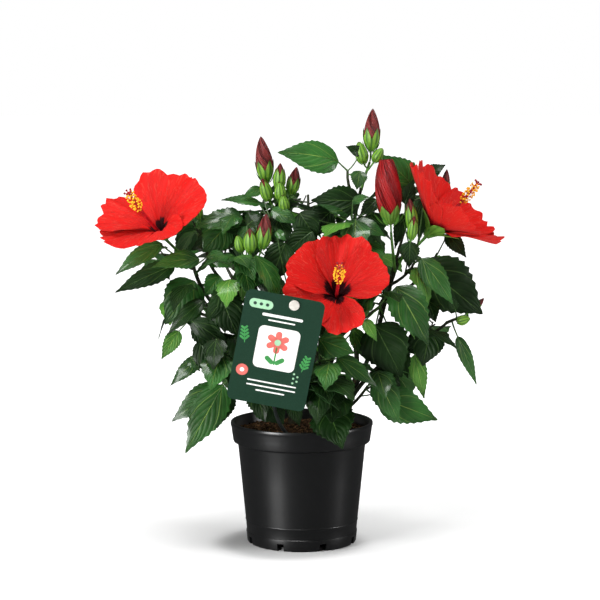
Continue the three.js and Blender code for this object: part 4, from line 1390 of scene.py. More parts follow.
class Crowd:
    """What stands already, against which a new blade or twig is measured."""

    def __init__(self, nodes: Iterable[bpy.types.Object]) -> None:
        """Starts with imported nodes.

        Args:
            nodes: the nodes.
        """
        self.solids = []
        for node in nodes:
            places = [vert.co / MM for vert in node.data.vertices]
            faces = [tuple(face.vertices) for face in node.data.polygons]
            self.solids.append(BVHTree.FromPolygons(places, faces))
        self.blades: list[tuple[Vector, float, BVHTree]] = []

    def add(self, blade: Blade) -> None:
        """Lets a blade stand."""
        places, faces = blade.outline()
        self.blades.append((blade.middle(0.5), blade.length / 2, BVHTree.FromPolygons(places, faces)))

    def is_clear(self, blade: Blade) -> bool:
        """Whether a blade touches nothing that stands.

        Args:
            blade: the blade.

        Returns:
            True if it is clear.
        """
        places, faces = blade.outline()
        net = BVHTree.FromPolygons(places, faces)
        if any(net.overlap(solid) for solid in self.solids):
            return False
        centre, reach = blade.middle(0.5), blade.length / 2
        return not any(
            (centre - other).length < reach + its and net.overlap(its_net)
            for other, its, its_net in self.blades
        )


@dataclass(frozen=True)
class OpenSky:
    """The round windows between the leaves, each a place across and up, and a radius."""

    windows: Sequence[Place]

    def shows(self, place: Vector) -> bool:
        """Whether the camera sees a place through one of the windows.

        Args:
            place: the place.

        Returns:
            True if it is seen there.
        """
        eye = Studio.EYE
        seen = eye + (place - eye) * (-eye.y / (place.y - eye.y))
        return any(math.hypot(seen.x - x, seen.z - z) < radius for x, z, radius in self.windows)

    def is_left_open(self, blade: Blade) -> bool:
        """Whether a blade covers none of the windows."""
        return not any(self.shows(place) for place in (*blade.outline()[0], blade.middle(0.45)))


@dataclass
class Mass:
    """One mass of leaves, grown by the source's rule and carried on to finer twigs."""

    plan: MassPlan
    index: int
    leaves: list[Leaf] = field(default_factory=list)
    twigs: list[tuple[Curve, Span]] = field(default_factory=list)

    SEED, SEED_STEP = 1291, 7919
    FINER_SEED, FINER_SEED_STEP = 90001, 613
    FIRST_TWIG = 0.3
    REACH, FINER_REACH = (0.2, 0.42), (0.14, 0.36)
    LEAF_PLACES, FINER_PLACES = (0.42, 0.74, 1.0), (0.35, 0.6, 0.82, 1.0)
    SIZES, FINER_SIZES = (38, 64), (26, 54)
    FINER_WIDTH = 1.16
    FINER_FEET = (0.35, 0.95)
    STEM_RADII, TWIG_RADII, FINER_RADII = (1.6, 1.2), (0.95, 0.8), (0.8, 0.6)
    TRIES = 6
    ROOT_SHARES = (1, 0.9, 0.8, 0.7, 0.6, 0.5, 0.4, 0.3)
    KEPT_WITHIN = 0.06
    LOWEST_LEAF = 118
    GREENS, REGROWN_GREENS = (0.4, 0.88), (0.45, 0.93)

    def __post_init__(self) -> None:
        """Finds the mass's stem and heading."""
        self.stem = Curve(self.plan.stem)
        self.heart = Vector(self.plan.centre)
        self.heading = math.atan2(self.heart.y, self.heart.x)
        self.dice = Dice(self.SEED + self.index * self.SEED_STEP)
        self.finer_dice = Dice(self.FINER_SEED + self.index * self.FINER_SEED_STEP)
        self.twigs.append((self.stem, self.STEM_RADII))

    def holds(self, place: Vector, share: float = 1.0) -> bool:
        """Whether a place lies in the mass's space."""
        return (place - self.heart).length <= self.plan.radius * share

    def root_for(self, foot: Sequence[float]) -> Vector:
        """The place on the stem's outer part that is nearest to a little below a blade's foot."""
        aim = Vector(foot) - UP * 6
        return min((self.stem.at(s) for s in self.ROOT_SHARES), key=lambda p: (p - aim).length)

    def grow(self, crowd: Crowd, sky: OpenSky) -> None:
        """Grows the show leaves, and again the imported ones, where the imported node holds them.

        Args:
            crowd: what stands already.
            sky: the windows that stay open.
        """
        for shown in self.plan.leaves:
            blade = Blade.shown(shown).bend_freely(self.finer_dice, 0.5)
            tint = self.tint(self.GREENS)
            leaf = Leaf(blade, self.root_for(shown.foot), shown.tint or tint, 6, 20)
            self.keep(leaf, crowd)
        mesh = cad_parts[f"foliage_{self.plan.name}"].data
        corners = KDTree(len(mesh.vertices))
        for vert in mesh.vertices:
            corners.insert(vert.co / MM, vert.index)
        corners.balance()
        for k in range(self.plan.twigs):
            foot = self.stem.at(between((self.FIRST_TWIG, 1), (k + 0.5) / self.plan.twigs))
            curve, turn = self.twig_by_rule(self.dice, foot, self.REACH, k)
            self.regrow(curve, turn, corners, crowd, sky)

    def twig_by_rule(self, dice: Dice, foot: Vector, reach: Span, k: int) -> tuple[Curve, float]:
        """A twig that leaves the stem to one side.

        Args:
            dice: the chances.
            foot: where it starts.
            reach: the span of its length, as shares of the mass's radius.
            k: its number, which sets its side.

        Returns:
            The twig and its heading.
        """
        turn = self.heading + (1 if k % 2 else -1) * dice.within((0.25, 1.5))
        rise = math.radians(dice.within((-5, 60)))
        length = self.plan.radius * dice.within(reach)
        end = foot + polar(turn, rise) * length
        middle = foot.lerp(end, 0.5) - UP * (0.06 * length)
        return Curve((foot, middle, end)), turn

    def leaf_by_rule(self, dice: Dice, root: Vector, heading: float, sizes: Span = SIZES) -> Blade:
        """A leaf's blade, set on a stalk that starts at its root.

        Args:
            dice: the chances.
            root: the stalk's root.
            heading: where it turns to, in radians.
            sizes: the span of its length.

        Returns:
            The blade.
        """
        turn = heading + dice.within((-0.5, 0.5))
        rise = math.radians(dice.within((0, 40)))
        fall = math.radians(-dice.within((8, 62)))
        length = min(dice.within(sizes), 0.9 * self.plan.radius)
        width = length * dice.within((0.54, 0.68))
        start = root + polar(turn, rise) * dice.within((6, 15))
        along = polar(turn + dice.within((-0.35, 0.35)), fall)
        normal = square_to(polar(turn, 0) * 0.8 + UP, along)
        return Blade(start, along, length, normal, width)

    def regrow(self, curve: Curve, turn: float, corners: KDTree, crowd: Crowd, sky: OpenSky) -> None:
        """Deals a twig's leaves as the source does, and keeps those of the node that hide no sky.

        Args:
            curve: the twig.
            turn: the twig's heading.
            corners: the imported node's corners.
            crowd: what stands already.
            sky: the windows that stay open.
        """
        kept = False
        for k, share in enumerate(self.LEAF_PLACES):
            fan = 0.1 if share == 1 else 0.9
            root = curve.at(share)
            tries = []
            for _ in range(self.TRIES):
                swing = (-fan if k % 2 else fan) * self.dice.within((0.5, 1.3))
                tries.append(self.leaf_by_rule(self.dice, root, turn + swing))
            for blade in tries:
                if corners.find(blade.middle(1))[2] < self.KEPT_WITHIN:
                    if not sky.is_left_open(blade):
                        break
                    blade.bend_freely(self.finer_dice, 0.6)
                    self.keep(Leaf(blade, root, self.tint(self.REGROWN_GREENS)), crowd)
                    kept = True
                    break
        if kept:
            self.twigs.append((curve, self.TWIG_RADII))

    def grow_finer(self, crowd: Crowd, sky: OpenSky) -> None:
        """Carries the rule on to finer twigs with smaller leaves, inside the mass's reach.

        Args:
            crowd: what stands already.
            sky: the windows that stay open.
        """
        dice = self.finer_dice
        for k in range(self.plan.finer):
            carrier = self.twigs[int(dice.roll() * len(self.twigs))][0]
            foot = carrier.at(dice.within(self.FINER_FEET))
            curve, turn = self.twig_by_rule(dice, foot, self.FINER_REACH, k)
            kept = False
            for n, share in enumerate(self.FINER_PLACES):
                root = curve.at(share)
                for _ in range(self.TRIES):
                    swing = (-1 if n % 2 else 1) * dice.within((0.2, 1.4))
                    blade = self.leaf_by_rule(dice, root, turn + swing, self.FINER_SIZES)
                    blade.width *= self.FINER_WIDTH
                    blade.bend_freely(dice)
                    fits = self.holds(blade.start, 0.86) and self.holds(blade.middle(1), 0.9)
                    above = min(blade.middle(s).z for s in (0.5, 1)) > self.LOWEST_LEAF
                    if fits and above and sky.is_left_open(blade) and crowd.is_clear(blade):
                        self.keep(Leaf(blade, root, self.tint(self.GREENS)), crowd)
                        kept = True
                        break
            if kept:
                self.twigs.append((curve, self.FINER_RADII))

    def tint(self, bounds: Span) -> Tint:
        """Deals a green, dark below the first of two chances and young above the second."""
        chance = self.finer_dice.roll()
        return DARK if chance < bounds[0] else MIDDLE if chance < bounds[1] else YOUNG

    def keep(self, leaf: Leaf, crowd: Crowd) -> None:
        """Adds a leaf, and lets it stand in the crowd."""
        self.leaves.append(leaf)
        crowd.add(leaf.blade)


@dataclass
class Foliage:
    """All the masses, whose leaves are joined by where they grow and whose twigs are one piece."""

    plans: Sequence[MassPlan]
    regions: dict[str, Sequence[str]]
    sky: OpenSky
    thickness: float = 0.34

    def build(self, crowd: Crowd) -> None:
        """Grows, meshes and dresses the leaves and twigs.

        Args:
            crowd: what stands already.
        """
        masses = [Mass(plan, index) for index, plan in enumerate(self.plans)]
        for mass in masses:
            mass.grow(crowd, self.sky)
        for mass in masses:
            mass.grow_finer(crowd, self.sky)
        by_name = {mass.plan.name: mass for mass in masses}
        finishes = (*LEAF_FACES, *LEAF_BACKS)
        for region, places in self.regions.items():
            clay = Clay()
            names = [f"foliage_{place}" for place in places]
            leaves = [leaf for place in places for leaf in by_name[place].leaves]
            for leaf in leaves:
                clay.sheet(
                    leaf.across, leaf.rows, leaf.blade.surface(leaf.rows), leaf.tint.value, merge=True
                )
            title = f"leaves_{region}"
            clay.fire(title, finishes, Slot.LEAF, names, self.thickness, back=3, sharp=55)
            log.info("%s holds %d leaves", title, len(leaves))
        twigs = Clay()
        for mass in masses:
            self.lay_twigs(twigs, mass)
        twigs.fire("twigs", (SHOOT, BROWN_SHOOT), Slot.SHOOT)

    def lay_twigs(self, clay: Clay, mass: Mass) -> None:
        """Lays a mass's twigs and the stalks of its leaves.

        Args:
            clay: the mesh that takes them.
            mass: the mass.
        """
        for curve, radii in mass.twigs:
            clay.tube(curve, lambda t, r=radii: between(r, t), 6, 6, ink=1)
        for leaf in mass.leaves:
            start = leaf.blade.start
            sag = (start - leaf.root).length * 0.06
            middle = leaf.root.lerp(start, 0.5) - UP * sag
            end = leaf.blade.middle(0.04)
            stalk = Curve((leaf.root, middle, end))
            thick = 0.55 + leaf.blade.length * 0.004
            clay.tube(stalk, lambda t, r=thick: r * (1.25 - 0.35 * t), 5, 5)
            rib = Curve((end, leaf.blade.middle(0.3), leaf.blade.middle(0.7)))
            drop = leaf.blade.normal * -0.25
            rib = Curve([rib.at(s) + drop for s in (0, 0.5, 1)])
            if leaf.rows > 12:
                clay.tube(rib, lambda t, r=thick: r * (0.7 - 0.5 * t), 4, 5)


# Stems and boughs


@dataclass
class Framework:
    """The stems and boughs, with the relief of bark and the swellings where leaves stood."""

    limbs: Sequence[Limb]
    sides: int = 14
    ring_every: float = 2.4
    node_every: float = 21.0

    def build(self) -> None:
        """Builds and dresses the bark of the stems and of the boughs."""
        stems, boughs = Clay(), Clay()
        for limb in self.limbs:
            self.lay(stems if limb.flare else boughs, limb)
        stems.cut_at_ground()
        names = [limb.name for limb in self.limbs if limb.flare]
        stems.fire("stems", (STEM_BARK,), Slot.BARK, names)
        names = [limb.name for limb in self.limbs if not limb.flare]
        boughs.fire("boughs", (BOUGH_BARK,), Slot.SHOOT, names)

    def lay(self, clay: Clay, limb: Limb) -> None:
        """Lays one limb along its path.

        Args:
            clay: the mesh that takes it.
            limb: the limb.
        """
        curve = Curve(limb.path)
        length = curve.length()
        nodes = max(2, round(length / self.node_every))

        def radius(share: float) -> float:
            """The limb's radius, with its flare and a swelling at each node.

            Args:
                share: how far along.

            Returns:
                The radius.
            """
            flare = limb.flare * max(0.0, 1 - share / 0.24) ** 2
            near = abs((share * nodes) % 1 - 0.5)
            return between(limb.radii, share) + flare + 0.35 * ease(0.38, 0.5, near)

        def relief(share: float, angle: float) -> float:
            """The bark's ridges, a factor on the radius."""
            spot = Vector((math.cos(angle) * 2.2, math.sin(angle) * 2.2, share * length * 0.09))
            return 1 + 0.1 * noise.noise(spot + Vector(limb.path[0]))

        rings = max(8, round(length / self.ring_every))
        clay.tube(curve, radius, self.sides, rings, relief=relief)


# Blooms and buds


def lay_bracts(clay: Clay, base: Station, shape: Callable[[float], Place], count: int = 7) -> None:
    """Lays narrow bracts round the foot of a calyx.

    Args:
        clay: the mesh that takes them.
        base: the calyx's foot.
        shape: gives a bract's height, lean and half width at a share of its length.
        count: how many bracts.
    """
    for k in range(count):
        angle = (k + 0.5) / count * TURN
        side = base.along.cross(base.out(angle))

        def place(u: float, v: float, angle: float = angle, side: Vector = side) -> Vector:
            """A vertex of the bract."""
            height, lean, half = shape(v)
            return base.beside(angle, lean, height) + side * (half * (1 - 2 * u))

        clay.sheet(2, 5, place, ink=1)


@dataclass
class Bloom:
    """An open bloom: five ruffled petals, calyx, column, stamens and stigmas."""

    plan: BloomPlan
    seed: int
    notch: float = 0.36
    layer: float = 1.3
    stamens: int = 62
    calyx_length: float = 19.0
    calyx_radius: float = 7.8
    brush: Span = (5.2, 19.0)

    APART = 72
    LOBES = 5

    def __post_init__(self) -> None:
        """Finds the bloom's own directions and its column."""
        plan = self.plan
        self.funnel = plan.funnel
        self.base = Station.facing(Vector(plan.foot), Vector(plan.axis).normalized(), UP)
        foot, along, up = self.base.centre, self.base.along, self.base.normal
        top = foot + along * plan.column + up * plan.lift + Vector(self.funnel.sway)
        middle = foot.lerp(top, 0.5) - up * (1.5 + plan.lift / 4)
        self.column = Curve((foot, middle, top))
        self.dice = Dice(self.seed)

    def section(self, size: float, share: float) -> Vector:
        """How far out and how high up the axis a petal of a size is at a share of its length.

        Args:
            size: the petal's reach.
            share: how far along it.

        Returns:
            The distance out and the height.
        """
        cone, tall = self.funnel.cone, self.plan.height * self.funnel.tall
        bend = (between((8, 0.5 * size), cone), between((1.0, 0.56), cone) * tall)
        return bezier([Vector(handle) for handle in ((2, 4), (4.5, 14), bend, (size, tall))], share)

    def flare_at(self, height: float) -> float:
        """How far out the petals are at a height up the axis."""
        steps = (self.section(self.plan.radius, k / 60) for k in range(61))
        return next((step.x for step in steps if step.y >= height), self.plan.radius)

    def lay_petal(self, clay: Clay, index: int, across: int = 36, along: int = 24) -> None:
        """Lays one petal from the throat to its ruffled rim.

        Args:
            clay: the mesh that takes it.
            index: the petal's number.
            across: how many faces across.
            along: how many faces along.
        """
        petal = self.funnel.petals[index]
        centre = math.radians(self.plan.roll + index * self.APART + petal.turn)
        phase = self.dice.within((0, TURN))
        size = self.plan.radius * petal.size

        def place(u: float, v: float) -> Vector:
            """A vertex of the petal.

            Args:
                u: the share across.
                v: the share along.

            Returns:
                Its place.
            """
            side = 1 - 2 * u
            angle = centre + side * math.radians(petal.spread)
            turned, axis = self.base.out(angle), self.base.along
            rough = noise.noise(turned * 2.6 + axis * (v * 2 + self.seed + index))
            crimp = noise.noise(turned * 9 + axis * (index * 5.7 + self.seed))
            frill = math.sin(26 * side + phase)
            rim = 1 - self.notch * side**4 + v**2 * (0.03 * rough + 0.025 * crimp + 0.005 * frill)
            flare, rise = self.section(size, v * rim)
            waves = 0.05 * math.sin(6 * angle + self.seed) + 0.09 * rough + 0.035 * crimp
            ruffle = size * (v**3 * waves + 0.014 * v**6 * frill)
            crease = 0.014 * size * math.sin(9 * side + phase) * math.sin(math.pi * v)
            dome = 0.14 * size * (1 - side**2) * v**2 * (1 - v)
            height = rise + ruffle + crease - dome + self.layer * side * v
            height -= petal.curl * size * ease(0.4, 1.0, v) * v
            return self.base.beside(angle, flare, height)

        clay.sheet(across, along, place, self.funnel.ink, merge=True)

    def lay_green(self, clay: Clay) -> None:
        """Lays the stalk, the calyx with its five lobes, and the bracts below it.

        Args:
            clay: the mesh that takes them.
        """
        stalk = Curve((*self.plan.stalk, self.plan.foot))
        clay.tube(stalk, lambda t: 1.3 + 0.5 * ease(0.8, 1.0, t), 8, 10, ink=1)
        length, radius = self.calyx_length, self.calyx_radius

        def cup(u: float, v: float) -> Vector:
            """A vertex of the calyx.

            Args:
                u: the share round.
                v: the share up.

            Returns:
                Its place.
            """
            lobe = abs(((u * self.LOBES) % 1) - 0.5) * 2
            rise = v * length * (0.62 + 0.4 * (1 - lobe) ** 0.8)
            bell = radius * (0.3 + 0.72 * ease(-0.1, 0.62, rise / length))
            out = max(bell, self.flare_at(rise + 1.5) + 1.6) if v else 0.0
            return self.base.beside(u * TURN, out, rise - 1.5)

        def bract(v: float) -> Place:
            """A bract's height, lean and half width."""
            half = 0.95 * math.sin(math.pi * (0.12 + 0.88 * v))
            return v * 9 - 0.5, 2.6 + 4.6 * v + 1.5 * v**2, half

        clay.sheet(30, 12, cup, merge=True)
        lay_bracts(clay, self.base, bract)

    def lay_heart(self, clay: Clay) -> None:
        """Lays the column, its stamens and the five stigmas.

        Args:
            clay: the mesh that takes them.
        """
        clay.tube(self.column, lambda t: 1.9 - 0.8 * t, 10, 14)
        length = self.plan.column
        radius, brush = self.brush
        stations = self.column.stations(60)
        for k in range(self.stamens):
            share = (k + self.dice.roll()) / self.stamens
            at = stations[round((1 - (brush + 5 - share * (brush + 2)) / length) * 59)]
            angle = k * GOLDEN_ANGLE + self.dice.within((-0.4, 0.4))
            out = at.out(angle)
            reach = radius * (0.72 + 0.28 * math.sin(math.pi * share)) * self.dice.within((0.72, 0.98))
            tip = at.centre + out * reach + at.along * self.dice.within((0.4, 2.6))
            bow = at.centre.lerp(tip, 0.55) + at.along * -0.3
            clay.tube(Curve((at.centre, bow, tip)), lambda t: 0.2 - 0.05 * t, 3, 3)
            swell = Vector((self.dice.roll(), self.dice.roll(), self.dice.roll())) * 0.4
            clay.ball(tip, self.dice.within((0.75, 1.05)), 1, swell)
        end = stations[-1]
        for k in range(5):
            out = end.out(k * TURN / 5 + 0.4)
            tip = end.centre + out * 3.4 + end.along * 0.6
            bow = end.centre + out * 1.6 - end.along * 0.8
            clay.tube(Curve((end.centre - end.along * 2.5, bow, tip)), lambda t: 0.42, 4, 4)
            clay.ball(tip, 1.15, 2)


@dataclass
class Blooms:
    """The three open blooms, joined by kind."""

    plans: Sequence[BloomPlan]
    thickness: float = 0.4

    SEED, SEED_STEP = 401, 37

    def build(self) -> None:
        """Builds and dresses the petals, the greens and the hearts."""
        petals, greens, hearts = Clay(), Clay(), Clay()
        for k, plan in enumerate(self.plans):
            bloom = Bloom(plan, self.SEED + k * self.SEED_STEP)
            for index in range(len(plan.funnel.petals)):
                bloom.lay_petal(petals, index)
            bloom.lay_green(greens)
            bloom.lay_heart(hearts)
        names = [plan.name for plan in self.plans]
        finishes = (PETAL, PETAL_BACK, PETAL_NARROW, PETAL_BACK)
        petals.fire("petals", finishes, Slot.PETAL, names, self.thickness, back=1, sharp=80)
        greens.fire("bloom_calyxes", (CALYX_OLIVE, BRACT), Slot.BUD, (), 0.5, sharp=50)
        hearts.fire("stamens", (COLUMN_RED, ANTHER, STIGMA), Slot.PETAL, sharp=60)


@dataclass
class Buds:
    """All the buds: rolled petals in five-lobed calyxes, with their bracts and stalks."""

    clusters: Sequence[Cluster]
    plans: Sequence[MassPlan]
    open_from: float = 20.0
    rolled: Clay = field(default_factory=Clay)
    green: Clay = field(default_factory=Clay)

    MOUTH = 0.86
    SUNK = 7

    def build(self) -> None:
        """Builds and dresses the buds, joined by kind."""
        for cluster in self.clusters:
            curve = Curve(cluster.twig)
            self.green.tube(curve, lambda t: between((1.6, 1.2), t), 8, 8, ink=1)
            last = max(1, len(cluster.buds) - 1)
            for k, bud in enumerate(cluster.buds):
                self.lay(bud, curve.at(1 - 0.35 * k / last))
        for plan in self.plans:
            for bud in plan.buds:
                self.lay(bud, Curve(plan.stem).at(0.9))
        names = [cluster.name for cluster in self.clusters]
        self.rolled.fire("bud_petals", (ROLLED, FULL_ROLLED, BUD_MOUTH_SHADE), Slot.PETAL, sharp=50)
        finishes = (CALYX_GREEN, BRACT, CALYX_OLIVE)
        self.green.fire("bud_calyxes", finishes, Slot.BUD, names, sharp=50)

    def lay(self, bud: Bud, root: Vector) -> None:
        """Lays one bud with its stalk.

        Args:
            bud: the bud.
            root: the stalk's root.
        """
        start = Vector(bud.foot)
        reach = Vector(bud.tip) - start
        length = reach.length
        base = Station.facing(start, reach.normalized(), FRONT)
        cup = 1 - bud.petals
        is_open = bud.width > self.open_from
        full = 0.84 if is_open else 1.0

        def swell(share: float) -> float:
            """The bud's radius at a share of its length."""
            return bud.width / 2 * math.sin(math.pi * (share * full) ** 0.8) ** 0.75

        def petal(u: float, v: float) -> Vector:
            """A vertex of the rolled petals, whose last rows close the mouth.

            Args:
                u: the share round.
                v: the share up.

            Returns:
                Its place.
            """
            share = cup * 0.4 + (1 - cup * 0.4) * min(1.0, v / self.MOUTH)
            sink = max(0.0, (v - self.MOUTH) / (1 - self.MOUTH))
            wound = u * 5 + 2.2 * bud.petals * share
            ridge = 1 + 0.075 * (wound % 1 - 0.5) * ease(0, 0.2, share)
            out = swell(share) * 0.95 * ridge * (1 - sink if is_open else 1)
            depth = length * share - (sink * self.SUNK if is_open else 0)
            if v in (0, 1):
                out = 0.0
            return base.beside(u * TURN, out, depth)

        low, high = (0.6, 0.52) if bud.petals > 0.3 else (0.74, 0.3) if bud.petals else (0.94, 0.045)
        ink = 1 if is_open else 0
        made = self.rolled.sheet(40, 22, petal, ink, merge=True)
        # painted shade in the sunken mouth of an opening bud
        if is_open:
            self.paint_shade_in_mouth(made)

        def calyx(u: float, v: float) -> Vector:
            """A vertex of the calyx, whose rim has five points.

            Args:
                u: the share round.
                v: the share up.

            Returns:
                Its place.
            """
            lobe = abs(((u * Bloom.LOBES) % 1) - 0.5) * 2
            top = cup * (low + high * (1 - lobe))
            share = min(0.985, v * top)
            ribs = 1 + (0.02 if is_open else 0.06) * math.cos(u * TURN * 10)
            out = swell(share) * ribs + 0.3 + 0.2 * v**5 * (1 - lobe)
            return base.beside(u * TURN, out if v else 0.0, length * share)

        def bract(v: float) -> Place:
            """A bract's height, lean and half width."""
            half = bud.width * 0.06 * math.sin(math.pi * (0.14 + 0.86 * v))
            return v * min(11.0, length * 0.34) - 0.4, bud.width * (0.2 + 0.52 * v**0.7), half

        self.green.sheet(40, 12, calyx, 2 if is_open else 0, merge=True)
        lay_bracts(self.green, base, bract)
        middle = root.lerp(start, 0.6) - reach * 0.06
        stalk = Curve((root, middle, start + reach * 0.06))
        self.green.tube(stalk, lambda t: between((0.6, 1.0), t), 6, 6, ink=1)

    def paint_shade_in_mouth(self, made: Iterable[bmesh.types.BMVert]) -> None:
        """Gives the sunken mouth of an opening bud a painted shade: a near-black finish on the rows sunk
        into its hollow.

        Args:
            made: the rolled petals' vertices.
        """
        for face in {face for vert in made for face in vert.link_faces}:
            if min(loop[self.rolled.uv].uv.y for loop in face.loops) > self.MOUTH - 0.01:
                face.material_index = 2


# Pot, soil and card


@dataclass
class NurseryPot:
    """A round pot of black plastic with a stepped collar, a lip and notches at its foot."""

    height: float = 113.0
    rim_radius: float = 66.0
    collar_height: float = 18.5
    collar_foot: float = 63.6
    body_top: float = 59.4
    base: float = 50.0
    wall: float = 1.6
    floor: float = 2.4
    lip: float = 2.6
    notches: int = 8
    notch_width: float = 6.5
    notch_height: float = 7.0
    steps: int = 128

    def wall_radius(self, z: float) -> float:
        """The wall's outer radius at a height below the collar."""
        return between((self.base, self.body_top), z / (self.height - self.collar_height))

    def profile(self) -> list[Pair]:
        """The section of the pot, from the middle of its underside to its floor inside.

        Returns:
            Its radii and heights.
        """
        step = self.height - self.collar_height
        top, rim, lip = self.height, self.rim_radius, self.lip
        foot = ((-self.base, 0), (-6, 0), (-1, 0), (0.2, 0.3), (0.7, 1.2))
        beads = ((0.7, 9.8), (0.55, 10.6), (0.05, 11), (0, 20), (0.25, 20.4), (0.25, 21.2), (0, 21.6))
        under = ((0, 60), (0, step - 2.2), (0.3, step - 1.2), (1.4, step - 0.4))
        collar = ((-1.2, 0), (-0.3, 0.35), (0, 1.2))
        bead = ((0.6, 4.4), (0.35, 3.6), (0, 3), (0, 1.2), (0.35, 0.35), (1.2, 0))
        inside = ((lip - 0.5, 0), (lip, 0.4), (lip + 0.6, 1.4))
        return [
            *((self.base + out, z) for out, z in foot),
            *((self.wall_radius(z) + out, z) for out, z in (*beads, *under)),
            *((self.collar_foot + out, step + up) for out, up in collar),
            (between((self.collar_foot, rim - 0.6), 0.5), step + 7.5),
            *((rim - inward, top - down) for inward, down in (*bead, *inside)),
            (self.collar_foot - self.wall, step + 1.2 + self.wall),
            (self.wall_radius(step) - self.wall, step + self.wall * 0.5),
            (self.wall_radius(self.floor) - self.wall, self.floor),
            (0, self.floor),
        ]

    def build(self) -> None:
        """Builds and dresses the pot."""
        clay = spun(self.profile(), self.steps)
        clay.fire("nursery_pot", (POT_PLASTIC,), Slot.POT, ("pot",), sharp=32, cutter=self.cutter())

    def cutter(self) -> bpy.types.Object:
        """The blocks that cut the notches out of the pot's foot.

        Returns:
            The object that cuts.
        """
        bm = bmesh.new()
        for k in range(self.notches):
            turn = Matrix.Rotation((k + 0.5) / self.notches * TURN, 4, "Z")
            shift = Matrix.Translation((self.base * MM, 0, 0))
            size = Matrix.Diagonal((10 * MM, self.notch_width * MM, self.notch_height * 2 * MM, 1))
            bmesh.ops.create_cube(bm, size=1, matrix=turn @ shift @ size)
        return placed("notch_blocks", baked("notch_blocks", bm))


def spun(profile: Sequence[Pair], steps: int) -> Clay:
    """Spins a section round the vertical.

    Args:
        profile: the section's radius and height, from its foot to its end.
        steps: how many faces round it.

    Returns:
        The closed body.
    """
    clay = Clay()
    verts = [clay.bm.verts.new((radius, 0, z)) for radius, z in profile]
    edges = [clay.bm.edges.new(pair) for pair in zip(verts, verts[1:])]
    bmesh.ops.spin(
        clay.bm, geom=[*verts, *edges], cent=(0, 0, 0), axis=UP, angle=TURN, steps=steps, use_merge=True
    )
    bmesh.ops.remove_doubles(clay.bm, verts=clay.bm.verts, dist=MEETING)
    bmesh.ops.recalc_face_normals(clay.bm, faces=clay.bm.faces)
    for face in clay.bm.faces:
        face.smooth = True
    return clay


@dataclass
class Soil:
    """Peat that fills the pot, with a rough top and crumbs on it."""

    top: float = 105.0
    radius: float = 61.2
    rings: int = 34
    steps: int = 110
    crumbs: int = 520
    seed: int = 77

    def rough(self, x: float, y: float) -> float:
        """How far the top stands above its mean height at a place.

        Args:
            x: how far across.
            y: how far behind.

        Returns:
            The height.
        """
        coarse = noise.noise(Vector((x * 0.07, y * 0.07, 3.0)))
        fine = noise.noise(Vector((x * 0.42, y * 0.42, 9.0)))
        return 0.9 * coarse + 0.85 * fine - 0.8 * ease(self.radius - 7, self.radius, math.hypot(x, y))

    def build(self) -> None:
        """Builds and dresses the peat and its crumbs."""
        top = [(self.radius * (1 - k / self.rings), self.top - 0.8) for k in range(self.rings + 1)]
        body = [(0, 9.6), (48.8, 9.6), (57.2, 96.4), (self.radius, 99.8)]
        clay = spun([*body, *top], self.steps)
        for vert in clay.bm.verts:
            if vert.co.z > self.top - 1:
                vert.co.z += self.rough(vert.co.x, vert.co.y)
        clay.fire("soil_bed", (PEAT,), Slot.SOIL, ("soil",), sharp=180)
        crumbs = Clay()
        dice = Dice(self.seed)
        for _ in range(self.crumbs):
            out = (self.radius - 1.5) * math.sqrt(dice.roll())
            angle = dice.within((0, TURN))
            x, y = out * math.cos(angle), out * math.sin(angle)
            size = dice.within((0.5, 1.25)) * (1.6 if dice.roll() > 0.93 else 1)
            spot = Vector((x, y, self.top - 0.8 + self.rough(x, y) + size * 0.35))
            stretch = polar(dice.within((0, TURN)), dice.within((-0.2, 0.2))) * dice.within((0.1, 0.9))
            crumbs.ball(spot, size, int(dice.roll() > 0.5), stretch)
        crumbs.fire("soil_crumbs", (PEAT, CRUMB), Slot.SOIL, sharp=60)


